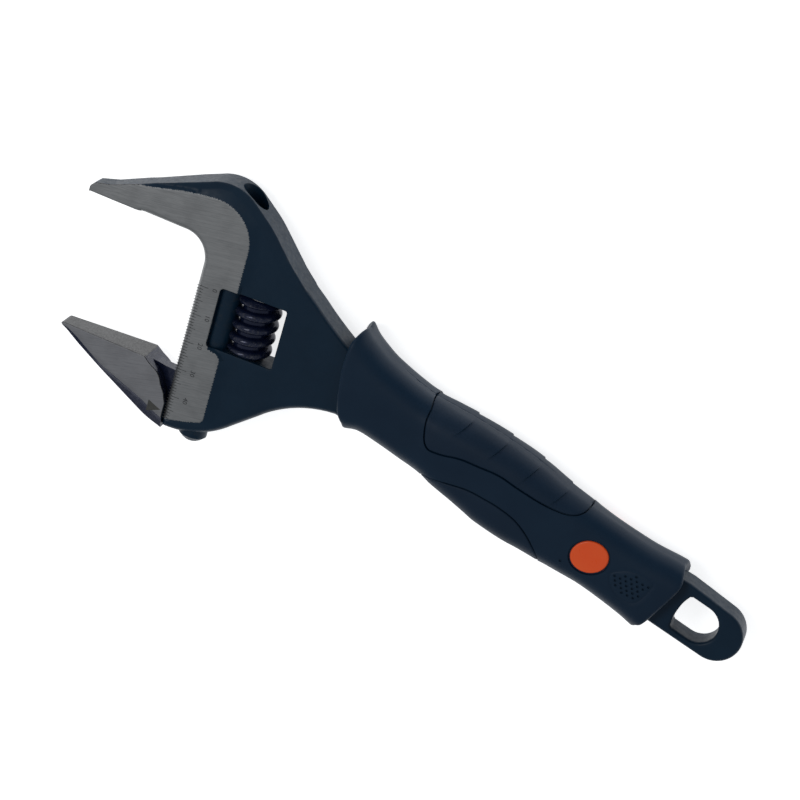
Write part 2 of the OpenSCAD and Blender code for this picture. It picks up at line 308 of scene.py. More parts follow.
def quarter(s: Points) -> Points:
    """Drop of a quarter round: 1 at its edge, 0 from its width inwards."""
    return 1 - np.sqrt(np.clip(1 - (1 - np.clip(s, 0, 1)) ** 2, 0, 1))


# ---------------------------------------------------------------- sheets of mesh


ROW_SHARE = 0.93        # a row's point is dropped where a bend brings it nearer than this share
EDGE_CLEAR = 0.1        # how near the edge a crease's row may come, mm
TRIANGLE_H = 0.866      # height of an even triangle
CELL = 0.11             # points in one cell of this size become one, mm
CELL_ROW = 1000003      # more cells than a row holds


@dataclass
class Plan:
    """A flat region triangulated so that its mesh follows given curves.

    Attributes:
        loops: the outer loop and any holes; sampled where the mesh has its edge.
        rings: distances from the edge at which the mesh has rows.
        creases: curves inside the region, each with the distances of its rows.
        grid: spacing of the points between them.
    """

    loops: list[Points]
    rings: Sequence[float]
    creases: list[tuple[Points, Sequence[float], bool]] = field(default_factory=list)
    grid: float = 2.0

    def __post_init__(self) -> None:
        """Turns the outer loop one way and the holes the other."""
        self.loops = [loop if (area(loop) > 0) == (i == 0) else loop[::-1]
                      for i, loop in enumerate(self.loops)]

    def within(self, points: Points) -> Points:
        """Whether points lie in the region."""
        keep = inside(points, self.loops[0])
        for hole in self.loops[1:]:
            keep &= ~inside(points, hole)
        return keep

    def edge_distance(self, points: Points) -> tuple[Points, Points]:
        """Distance to the nearest edge and its place in the joined loops."""
        best = np.full(len(points), np.inf)
        where = np.zeros(len(points), int)
        start = 0
        for loop in self.loops:
            d, k = distance(points, loop)
            near = d < best
            best[near], where[near] = d[near], k[near] + start
            start += len(loop)
        return best, where

    def _rows(self) -> list[Points]:
        """The points of the rows beside the edges and the creases."""
        rows = []
        for loop in self.loops:
            for d in self.rings:
                moved = beside(loop, d, True)
                gap = self.edge_distance(moved)[0]
                rows.append(moved[self.within(moved) & (gap > d * ROW_SHARE)])
        for path, steps, closed in self.creases:
            for d in steps:
                moved = beside(path, d, closed)
                moved = moved[self.within(moved)]
                if len(moved):
                    gap = distance(moved, path, closed)[0]
                    clear = self.edge_distance(moved)[0] > EDGE_CLEAR
                    rows.append(moved[(gap > abs(d) * ROW_SHARE) & clear])
        return rows

    def _field(self) -> Points:
        """The grid's points, kept clear of the rows."""
        edge = np.vstack(self.loops)
        low, high = edge.min(0), edge.max(0)
        across, up = np.meshgrid(np.arange(low[0], high[0], self.grid),
                                 np.arange(low[1], high[1], self.grid * TRIANGLE_H))
        across[1::2] += self.grid / 2
        free = np.stack([across.ravel(), up.ravel()], 1)
        free = free[self.within(free)]
        reach = (max(self.rings) if len(self.rings) else 0) + self.grid * 0.4
        free = free[self.edge_distance(free)[0] > reach]
        for path, steps, closed in self.creases:
            gap = distance(free, path, closed)[0]
            free = free[gap > max(abs(d) for d in steps) + self.grid * 0.3]
        return free

    def mesh(self) -> tuple[Points, list[tuple[int, int, int]], list[list[int]]]:
        """Triangulates the region.

        Returns:
            Its points, its triangles, and for each loop the indices of its points in order.
        """
        rest = np.vstack([*self._rows(), self._field()])
        cell = np.round(rest / CELL).astype(np.int64)
        _, first = np.unique(cell[:, 0] * CELL_ROW + cell[:, 1], return_index=True)
        points = np.vstack([*self.loops, rest[np.sort(first)]])
        starts = np.cumsum([0] + [len(loop) for loop in self.loops]).tolist()
        edges = [(start + i, start + (i + 1) % len(loop))
                 for start, loop in zip(starts, self.loops) for i in range(len(loop))]
        verts, _, faces, origin, _, _ = delaunay_2d_cdt(
            [Vector(p) for p in points.tolist()], edges, [], 0, 1e-7)
        flat = np.array([v[:] for v in verts])
        tri = np.array([f for f in faces if len(f) == 3])
        tri = tri[self.within(flat[tri].mean(1))]
        index = {o: i for i, ids in enumerate(origin) for o in ids}
        loops = [[index[start + i] for i in range(len(loop))] for start, loop in zip(starts, self.loops)]
        return flat, [tuple(t) for t in tri.tolist()], loops


@dataclass
class Shell:
    """Mesh data in the wrench's millimetres."""

    verts: Points
    faces: list[tuple[int, ...]]
    slots: list[int] = field(default_factory=list)
    edge: Points | None = None

    def joined(self, other: "Shell") -> "Shell":
        """This shell and another as one."""
        n = len(self.verts)
        mine = self.edge if self.edge is not None else np.zeros(n)
        theirs = other.edge if other.edge is not None else np.zeros(len(other.verts))
        return Shell(np.vstack([self.verts, other.verts]),
                     self.faces + [tuple(i + n for i in f) for f in other.faces],
                     (self.slots or [0] * len(self.faces)) + (other.slots or [0] * len(other.faces)),
                     np.concatenate([mine, theirs]))

    def mirrored(self) -> "Shell":
        """This shell with its image behind the middle plane."""
        image = Shell(self.verts * (1, 1, -1), [f[::-1] for f in self.faces], self.slots, self.edge)
        return self.joined(image)

    def piece(self, name: str, materials: Sequence[bpy.types.Material], sharp: float = 32.0,
              merge: float = 2e-6) -> bpy.types.Object:
        """Makes a mesh object in the row frame.

        Args:
            name: the piece's name.
            materials: one for each slot number.
            sharp: angle in degrees past which an edge is sharp.
            merge: distance in metres under which points become one.

        Returns:
            The object.
        """
        mesh = bpy.data.meshes.new(name)
        mesh.from_pydata(LAYOUT.row(self.verts).tolist(), [], self.faces)
        for m in materials:
            mesh.materials.append(m)
        if self.slots:
            mesh.polygons.foreach_set("material_index", self.slots)
        if self.edge is not None:
            mesh.attributes.new("edge", "FLOAT", "POINT").data.foreach_set("value", self.edge)
        bm = bmesh.new()
        bm.from_mesh(mesh)
        bmesh.ops.remove_doubles(bm, verts=bm.verts, dist=merge)
        bmesh.ops.dissolve_degenerate(bm, dist=1e-8, edges=bm.edges)
        bmesh.ops.recalc_face_normals(bm, faces=bm.faces)
        bm.to_mesh(mesh)
        bm.free()
        obj = placed(name, mesh)
        smooth(obj, sharp)
        return obj


def placed(name: str, data: bpy.types.ID) -> bpy.types.Object:
    """A new object, put in the scene."""
    obj = bpy.data.objects.new(name, data)
    bpy.context.scene.collection.objects.link(obj)
    return obj


def mend(bm: bmesh.types.BMesh, mesh: bpy.types.Mesh, merge: float = 1e-7) -> None:
    """Joins points that meet, turns the faces outward and writes the mesh."""
    bmesh.ops.remove_doubles(bm, verts=bm.verts, dist=merge)
    bmesh.ops.recalc_face_normals(bm, faces=bm.faces)
    bm.to_mesh(mesh)
    bm.free()


def smooth(obj: bpy.types.Object, sharp: float = 32.0) -> None:
    """Shades a piece smooth but for edges sharper than an angle in degrees."""
    obj.data.shade_smooth()
    obj.data.set_sharp_from_angle(angle=math.radians(sharp))


WALL_INSET = 0.15       # how far inside a wall's edges its rows lie, mm
EDGE_BAND = 0.8         # width over which a plate counts as edge, mm


def slab_faces(tris: Sequence[tuple[int, int, int]], n: int,
               rim: Sequence[tuple[int, int]] = ()) -> list[tuple[int, ...]]:
    """Faces of a slab whose back repeats its front's n points: both faces, and walls along a rim."""
    back = [(c + n, b + n, a + n) for a, b, c in tris]
    return [*tris, *back, *((a, a + n, b + n, b) for a, b in rim)]


def prism(flat: Points, low: float, high: float, slot: int = 0) -> Shell:
    """A closed block between two heights over a flat outline."""
    n = len(flat)
    verts = np.vstack([np.column_stack([flat, np.full(n, z)]) for z in (low, high)])
    faces = [tuple(range(n))[::-1], tuple(range(n, 2 * n))]
    faces += [(i, (i + 1) % n, (i + 1) % n + n, i + n) for i in range(n)]
    return Shell(verts, faces, [slot] * len(faces))


def plate(plan: Plan, height: Callable[[Points, Points, Points], Points],
          slot: Callable[[Points], Points], wall_slot: Callable[[Points], Points]) -> Shell:
    """A plate whose two faces follow a rule, with a row inside each edge of its walls to keep them flat.

    Args:
        plan: its outline and mesh rows.
        height: gives half the thickness from points, edge distances and edge places.
        slot: gives the material slot of face triangles from their middles.
        wall_slot: gives the material slot of the walls from their middles.

    Returns:
        The closed shell.
    """
    flat, tris, loops = plan.mesh()
    d, where = plan.edge_distance(flat)
    z = height(flat, d, where)
    n = len(flat)
    front = np.column_stack([flat, z])
    back = np.column_stack([flat, -z])
    t = np.array(tris)
    slots = slot(flat[t].mean(1)).tolist() * 2
    faces = slab_faces(tris, n)
    sheets, count = [front, back], 2 * n
    for loop in loops:
        k = np.array(loop)
        inset = np.minimum(WALL_INSET, z[k] * 0.2)
        sheets += [np.column_stack([flat[k], z[k] - inset]), np.column_stack([flat[k], inset - z[k]])]
        rows = [k, count + np.arange(len(k)), count + len(k) + np.arange(len(k)), k + n]
        count += 2 * len(k)
        wall = wall_slot((flat[k] + flat[np.roll(k, -1)]) / 2).tolist()
        for upper, lower in zip(rows, rows[1:]):
            quads = np.stack([upper, lower, np.roll(lower, -1), np.roll(upper, -1)], 1)
            faces += [tuple(q) for q in quads.tolist()]
            slots += wall
    edge = np.clip(1 - d / EDGE_BAND, 0, 1)
    edges = np.concatenate([edge, edge, np.ones(count - 2 * n)])
    return Shell(np.vstack(sheets), faces, [int(s) for s in slots], edges)


def lathe(profile: Points, origin: Points, axis: Vector, n: int = 64) -> Shell:
    """A closed body of revolution.

    Args:
        profile: (radius, height) points from one end of the axis to the other; it starts and
            ends on the axis, or returns to its start round a bore.
        origin: the axis's start in the wrench's millimetres.
        axis: its direction.
        n: points round it.

    Returns:
        The shell.
    """
    axis = axis.normalized()
    side = Vector((0, 0, 1))
    other = axis.cross(side)
    a = np.linspace(0, 2 * math.pi, n, endpoint=False)
    ring = np.outer(np.cos(a), side) + np.outer(np.sin(a), other)
    verts = np.vstack([np.asarray(origin) + h * np.array(axis) + r * ring for r, h in profile])
    faces = []
    for j in range(len(profile) - 1):
        for i in range(n):
            k = (i + 1) % n
            faces.append((j * n + i, j * n + k, (j + 1) * n + k, (j + 1) * n + i))
    return Shell(verts, faces)


def carve(piece: bpy.types.Object, tool: bpy.types.Object, how: str = "DIFFERENCE") -> None:
    """Joins a piece with a tool by an exact boolean, and removes the tool."""
    mod = piece.modifiers.new("cut", "BOOLEAN")
    mod.object, mod.operation, mod.solver = tool, how, "EXACT"
    settle(piece)
    bpy.data.objects.remove(tool, do_unlink=True)


def settle(piece: bpy.types.Object) -> None:
    """Turns a piece with modifiers into a plain mesh and drops the modifiers."""
    bpy.context.view_layer.update()
    graph = bpy.context.evaluated_depsgraph_get()
    mesh = bpy.data.meshes.new_from_object(piece.evaluated_get(graph), depsgraph=graph)
    mesh.name = piece.name
    piece.modifiers.clear()
    piece.data = mesh


# ---------------------------------------------------------------- finishes


class Shader:
    """Adds and joins the nodes of one material."""

    def __init__(self, name: str) -> None:
        """Starts a material with a principled shader and object coordinates."""
        self.material = bpy.data.materials.new(name)
        self.material.use_nodes = True
        self.tree = self.material.node_tree
        self.tree.nodes.clear()
        out = self.add("ShaderNodeOutputMaterial")
        self.bsdf = self.add("ShaderNodeBsdfPrincipled")
        self.tree.links.new(self.bsdf.outputs[0], out.inputs[0])
        self.coords = self.add("ShaderNodeTexCoord").outputs["Object"]

    def add(self, kind: str, **values: object) -> bpy.types.Node:
        """Adds a node and sets its properties."""
        node = self.tree.nodes.new(kind)
        for key, value in values.items():
            setattr(node, key, value)
        return node

    def link(self, source: bpy.types.NodeSocket, target: bpy.types.NodeSocket) -> None:
        """Joins two sockets."""
        self.tree.links.new(source, target)

    def set(self, **values: object) -> None:
        """Sets constants on the shader's own sockets, by name with _ for a space."""
        for key, value in values.items():
            self.bsdf.inputs[key.replace("_", " ")].default_value = value

    def stretched(self, scale: Sequence[float], turn: float = 0.0) -> bpy.types.NodeSocket:
        """Object coordinates turned about Z, then scaled."""
        turned = self.add("ShaderNodeMapping", vector_type="POINT")
        turned.inputs["Rotation"].default_value = (0, 0, turn)
        self.link(self.coords, turned.inputs["Vector"])
        scaled = self.add("ShaderNodeMapping", vector_type="POINT")
        scaled.inputs["Scale"].default_value = tuple(scale)
        self.link(turned.outputs[0], scaled.inputs["Vector"])
        return scaled.outputs[0]

    def noise(self, scale: float, detail: float = 3.0, rough: float = 0.55,
              vector: bpy.types.NodeSocket | None = None) -> bpy.types.NodeSocket:
        """Noise of a scale, per metre."""
        node = self.add("ShaderNodeTexNoise")
        node.inputs["Scale"].default_value = scale
        node.inputs["Detail"].default_value = detail
        node.inputs["Roughness"].default_value = rough
        self.link(vector or self.coords, node.inputs["Vector"])
        return node.outputs[0]

    def spread(self, value: bpy.types.NodeSocket, low: float, high: float, from_low: float = 0.3,
               from_high: float = 0.7) -> bpy.types.NodeSocket:
        """Maps a value onto a range."""
        node = self.add("ShaderNodeMapRange")
        for i, v in enumerate((from_low, from_high, low, high), 1):
            node.inputs[i].default_value = v
        self.link(value, node.inputs[0])
        return node.outputs[0]

    def maths(self, how: str, a: bpy.types.NodeSocket,
              b: bpy.types.NodeSocket | float) -> bpy.types.NodeSocket:
        """Joins two values."""
        node = self.add("ShaderNodeMath", operation=how)
        self.link(a, node.inputs[0])
        if isinstance(b, (int, float)):
            node.inputs[1].default_value = b
        else:
            self.link(b, node.inputs[1])
        return node.outputs[0]

    def mix(self, factor: bpy.types.NodeSocket, a: object, b: object) -> bpy.types.NodeSocket:
        """Mixes two colours, each a tuple or a socket."""
        node = self.add("ShaderNodeMix", data_type="RGBA")
        self.link(factor, node.inputs[0])
        for value, target in ((a, node.inputs[6]), (b, node.inputs[7])):
            if isinstance(value, tuple):
                target.default_value = (*value, 1)
            else:
                self.link(value, target)
        return node.outputs[2]

    def bump(self, *layers: tuple[bpy.types.NodeSocket, float, float]) -> None:
        """Stacks bumps, each a height, its strength and its depth in metres."""
        last = None
        for height, strength, depth in layers:
            node = self.add("ShaderNodeBump")
            node.inputs["Strength"].default_value = strength
            node.inputs["Distance"].default_value = depth
            self.link(height, node.inputs["Height"])
            if last is not None:
                self.link(last, node.inputs["Normal"])
            last = node.outputs[0]
        self.link(last, self.bsdf.inputs["Normal"])


Colour = tuple[float, float, float]


@dataclass(frozen=True)
class Coat:
    """Black coat on forged steel, worn a little where it turns an edge."""

    name: str = "black_coat"
    base: Colour = (0.0018, 0.0160, 0.036)
    tint: Colour = (0.0032, 0.0200, 0.043)
    worn: Colour = (0.05, 0.052, 0.055)
    gloss: float = 0.40
    wear: float = 0.35

    def material(self) -> bpy.types.Material:
        """Builds the material."""
        s = Shader(self.name)
        cloud = s.noise(90, 4)
        grain = s.noise(2600, 2)
        cast = s.noise(700, 4, 0.6)
        colour = s.mix(s.spread(cloud, 0, 1), self.base, self.tint)
        edge = s.add("ShaderNodeAttribute", attribute_name="edge").outputs["Fac"]
        patch = s.maths("MULTIPLY", edge, s.spread(s.noise(420, 5, 0.7), 0, self.wear, 0.50, 0.66))
        colour = s.mix(patch, colour, self.worn)
        s.link(colour, s.bsdf.inputs["Base Color"])
        s.link(s.spread(cast, self.gloss - 0.06, self.gloss + 0.1), s.bsdf.inputs["Roughness"])
        s.link(s.spread(patch, 0.0, 0.8, 0, 1), s.bsdf.inputs["Metallic"])
        s.set(Specular_IOR_Level=0.20)
        s.bump((cast, 0.25, 0.00012), (grain, 0.18, 0.00003))
        return s.material


@dataclass(frozen=True)
class Ground:
    """Bare ground steel with the wheel's long scratches."""

    name: str
    light: Colour = (0.31, 0.314, 0.317)
    dark: Colour = (0.226, 0.231, 0.236)
    grain_turn: float = -0.40
    gloss: float = 0.50
    bump: float = 0.5

    def material(self) -> bpy.types.Material:
        """Builds the material."""
        s = Shader(self.name)
        long_lines = s.noise(1.0, 3, 0.6, s.stretched((55, 3200, 900), self.grain_turn))
        short_lines = s.noise(1.0, 2, 0.6, s.stretched((260, 5200, 1500), self.grain_turn + 0.05))
        cloud = s.noise(130, 3)
        pits = s.noise(3300, 2, 0.7)
        tone = s.maths("ADD", s.maths("MULTIPLY", long_lines, 0.55), s.maths("MULTIPLY", short_lines, 0.45))
        colour = s.mix(s.spread(tone, 0, 1, 0.36, 0.62), self.dark, self.light)
        dull = tuple(c * 0.78 for c in self.dark)
        colour = s.mix(s.spread(cloud, 0, 0.45, 0.45, 0.75), colour, dull)
        colour = s.mix(s.spread(pits, 0, 0.5, 0.68, 0.78), colour, (0.07, 0.068, 0.066))
        s.link(colour, s.bsdf.inputs["Base Color"])
        s.link(s.spread(tone, self.gloss + 0.08, self.gloss - 0.08, 0.36, 0.62), s.bsdf.inputs["Roughness"])
        s.set(Metallic=0.92)
        s.bump((tone, self.bump, 0.00003), (s.noise(240, 2), 0.08, 0.0002))
        return s.material


@dataclass(frozen=True)
class Moulded:
    """Moulded plastic or rubber with a fine spark-eroded grain."""

    name: str
    base: Colour
    tint: Colour
    gloss: float
    grain: float = 3400.0
    relief: float = 0.35
    dust: float = 0.15

    def material(self) -> bpy.types.Material:
        """Builds the material."""
        s = Shader(self.name)
        cloud = s.noise(60, 4)
        grain = s.noise(self.grain, 2, 0.6)
        flow = s.noise(1.0, 3, 0.5, s.stretched((35, 260, 260)))
        colour = s.mix(s.spread(cloud, 0, 1), self.base, self.tint)
        pale = tuple(c * 2.2 + 0.004 for c in self.tint)
        colour = s.mix(s.spread(s.noise(1500, 4, 0.7), 0, self.dust, 0.6, 0.75), colour, pale)
        s.link(colour, s.bsdf.inputs["Base Color"])
        rough = s.maths("ADD", s.spread(grain, -0.04, 0.05),
                        s.spread(flow, self.gloss - 0.05, self.gloss + 0.06))
        s.link(rough, s.bsdf.inputs["Roughness"])
        s.set(Specular_IOR_Level=0.19)
        s.bump((grain, self.relief, 0.00004), (flow, 0.05, 0.0003))
        return s.material


@dataclass(frozen=True)
class Gloss:
    """Glossy moulded badge with faint scuffs."""

    name: str
    base: Colour
    tint: Colour
    gloss: float = 0.32

    def material(self) -> bpy.types.Material:
        """Builds the material."""
        s = Shader(self.name)
        cloud = s.noise(170, 3)
        scuff = s.noise(1.0, 4, 0.7, s.stretched((300, 2600, 600), 0.8))
        s.link(s.mix(s.spread(cloud, 0, 1), self.base, self.tint), s.bsdf.inputs["Base Color"])
        s.link(s.spread(scuff, self.gloss - 0.06, self.gloss + 0.14), s.bsdf.inputs["Roughness"])
        s.set(Specular_IOR_Level=0.45)
        s.bump((s.noise(900, 3), 0.06, 0.0001))
        return s.material


@dataclass(frozen=True)
class Oiled:
    """Blackened steel with a film of oil: the worm and the rack; the same dark finish also paints the shade
    on the jaw's bite and web.
    """

    name: str = "oiled_black"
    base: Colour = (0.003, 0.008, 0.030)
    tint: Colour = (0.009, 0.014, 0.046)
    gloss: float = 0.17

    def material(self) -> bpy.types.Material:
        """Builds the material."""
        s = Shader(self.name)
        patch = s.noise(380, 4, 0.6)
        film = s.noise(900, 3, 0.6)
        edge = s.add("ShaderNodeAttribute", attribute_name="edge").outputs["Fac"]
        rubbed = s.maths("MULTIPLY", edge, s.spread(s.noise(1300, 4, 0.7), 0, 0.6, 0.48, 0.66))
        colour = s.mix(s.spread(patch, 0, 1), self.base, self.tint)
        colour = s.mix(rubbed, colour, (0.11, 0.11, 0.115))
        s.link(colour, s.bsdf.inputs["Base Color"])
        s.link(s.spread(film, self.gloss - 0.06, self.gloss + 0.16), s.bsdf.inputs["Roughness"])
        s.set(Metallic=0.35)
        s.bump((film, 0.02, 0.0001), (s.noise(260, 2), 0.06, 0.0003))
        return s.material


@dataclass(frozen=True)
class Turned:
    """Turned or drawn steel, ringed round its length."""

    name: str
    base: Colour = (0.42, 0.42, 0.43)
    gloss: float = 0.3

    def material(self) -> bpy.types.Material:
        """Builds the material."""
        s = Shader(self.name)
        rings = s.noise(1.0, 2, 0.5, s.stretched((6000, 300, 300), -LAYOUT.angle - math.pi / 2))
        stain = s.noise(350, 4)
        dull = tuple(c * 0.7 for c in self.base)
        s.link(s.mix(s.spread(stain, 0, 1), dull, self.base), s.bsdf.inputs["Base Color"])
        s.link(s.spread(rings, self.gloss - 0.05, self.gloss + 0.12), s.bsdf.inputs["Roughness"])
        s.set(Metallic=1.0)
        s.bump((rings, 0.3, 0.00003))
        return s.material


@dataclass(frozen=True)
class Etched:
    """Dark laser marking in ground steel."""

    name: str = "etched_mark"
    base: Colour = (0.030, 0.031, 0.033)

    def material(self) -> bpy.types.Material:
        """Builds the material."""
        s = Shader(self.name)
        speck = s.noise(5200, 3, 0.7)
        pale = tuple(c * 2.0 for c in self.base)
        s.link(s.mix(s.spread(speck, 0, 1, 0.45, 0.7), self.base, pale), s.bsdf.inputs["Base Color"])
        s.link(s.spread(speck, 0.55, 0.75), s.bsdf.inputs["Roughness"])
        s.set(Metallic=0.3)
        return s.material


class Look(Enum):
    """The wrench's finishes."""

    COAT = Coat()
    LAND = Ground("ground_land")
    # A darker copy of the ground steel, painted shade: it goes on the ground walls that face the light
    # (gripping faces, jaw tip, slide edge, throat) and on the thin rim of the ground faces along their
    # outline.
    FACE = Ground("ground_gripping_face", (0.105, 0.106, 0.108), (0.078, 0.079, 0.081), 0.26, 0.42, 0.3)
    BLADE = Ground("ground_blade", (0.30, 0.30, 0.315), (0.225, 0.226, 0.24), -0.52, 0.46, 0.4)
    OILED = Oiled()
    SHELL = Moulded("moulded_shell", (0.0038, 0.0175, 0.040), (0.0056, 0.0220, 0.047), 0.44)
    SOFT = Moulded("moulded_soft", (0.0052, 0.0178, 0.039), (0.0076, 0.0225, 0.047), 0.50, 4200.0, 0.45, 0.2)
    BADGE = Gloss("orange_badge", (1.0, 0.099, 0.011), (1.0, 0.112, 0.015))
    PIN = Turned("turned_pin")
    WIRE = Turned("spring_wire", (0.5, 0.5, 0.52), 0.22)
    MARK = Etched()
    POINTER = Etched("etched_pointer", (0.055, 0.055, 0.05))

    def material(self) -> bpy.types.Material:
        """The finish's material, built once."""
        name = self.value.name
        return bpy.data.materials.get(name) or self.value.material()


# Slots 2 and 3 of the jaw also carry painted shade: the darker ground steel on the gripping face, tip and
# rim, and the oiled black on the bite and web.
JAW_LOOKS = (Look.BLADE, Look.COAT, Look.FACE, Look.OILED)


def finishes(*looks: Look) -> list[bpy.types.Material]:
    """The materials of some finishes, in their order."""
    return [k.material() for k in looks]


# ---------------------------------------------------------------- geometry node trees


class NodeTree:
    """A geometry node tree under construction."""

    def __init__(self, name: str, inputs: dict[str, tuple[str, object]], takes_mesh: bool = False) -> None:
        """Starts a tree.

        Args:
            name: the tree's name.
            inputs: for each named input its socket type and its value.
            takes_mesh: whether the tree changes the piece's own mesh.
        """
        self.tree = bpy.data.node_groups.new(name, "GeometryNodeTree")
        self.inputs = inputs
        face = self.tree.interface
        face.new_socket("Geometry", in_out="OUTPUT", socket_type="NodeSocketGeometry")
        if takes_mesh:
            face.new_socket("Geometry", in_out="INPUT", socket_type="NodeSocketGeometry")
        for key, (kind, _) in inputs.items():
            face.new_socket(key, in_out="INPUT", socket_type=kind)
        self.entry = self.tree.nodes.new("NodeGroupInput")
        self.exit = self.tree.nodes.new("NodeGroupOutput")

    def add(self, kind: str, wires: dict | None = None, **values: object) -> bpy.types.Node:
        """Adds a node.

        Args:
            kind: the node's type.
            wires: for each input's name or number, a socket or a value.
            values: the node's properties.

        Returns:
            The node.
        """
        node = self.tree.nodes.new(kind)
        for key, value in values.items():
            setattr(node, key, value)
        for key, value in (wires or {}).items():
            if isinstance(value, bpy.types.NodeSocket):
                self.tree.links.new(value, node.inputs[key])
            else:
                node.inputs[key].default_value = value
        return node

    def math(self, how: str, a: object, b: object = 0.0) -> bpy.types.NodeSocket:
        """One step of arithmetic."""
        return self.add("ShaderNodeMath", {0: a, 1: b}, operation=how).outputs[0]

    def scaled(self, vector: object, by: object) -> bpy.types.NodeSocket:
        """A vector times a number."""
        return self.add("ShaderNodeVectorMath", {0: vector, "Scale": by}, operation="SCALE").outputs[0]

    def plus(self, a: object, b: object) -> bpy.types.NodeSocket:
        """The sum of two vectors."""
        return self.add("ShaderNodeVectorMath", {0: a, 1: b}, operation="ADD").outputs[0]

    def finish(self, geometry: bpy.types.NodeSocket) -> None:
        """Ends the tree in Realize Instances and Set Material."""
        real = self.add("GeometryNodeRealizeInstances", {0: geometry})
        dressed = self.add("GeometryNodeSetMaterial", {0: real.outputs[0],
                                                       "Material": self.entry.outputs["Finish"]})
        self.tree.links.new(dressed.outputs[0], self.exit.inputs[0])

    def grow(self, piece: bpy.types.Object) -> bpy.types.Object:
        """Runs the tree on a piece and leaves a plain mesh."""
        mod = piece.modifiers.new(self.tree.name, "NODES")
        mod.node_group = self.tree
        sockets = {s.name: s.identifier for s in self.tree.interface.items_tree if s.in_out == "INPUT"}
        for key, (_, value) in self.inputs.items():
            mod[sockets[key]] = value
        settle(piece)
        return piece


def empty_piece(name: str) -> bpy.types.Object:
    """A piece with no mesh yet."""
    return placed(name, bpy.data.meshes.new(name))


# ---------------------------------------------------------------- the forging


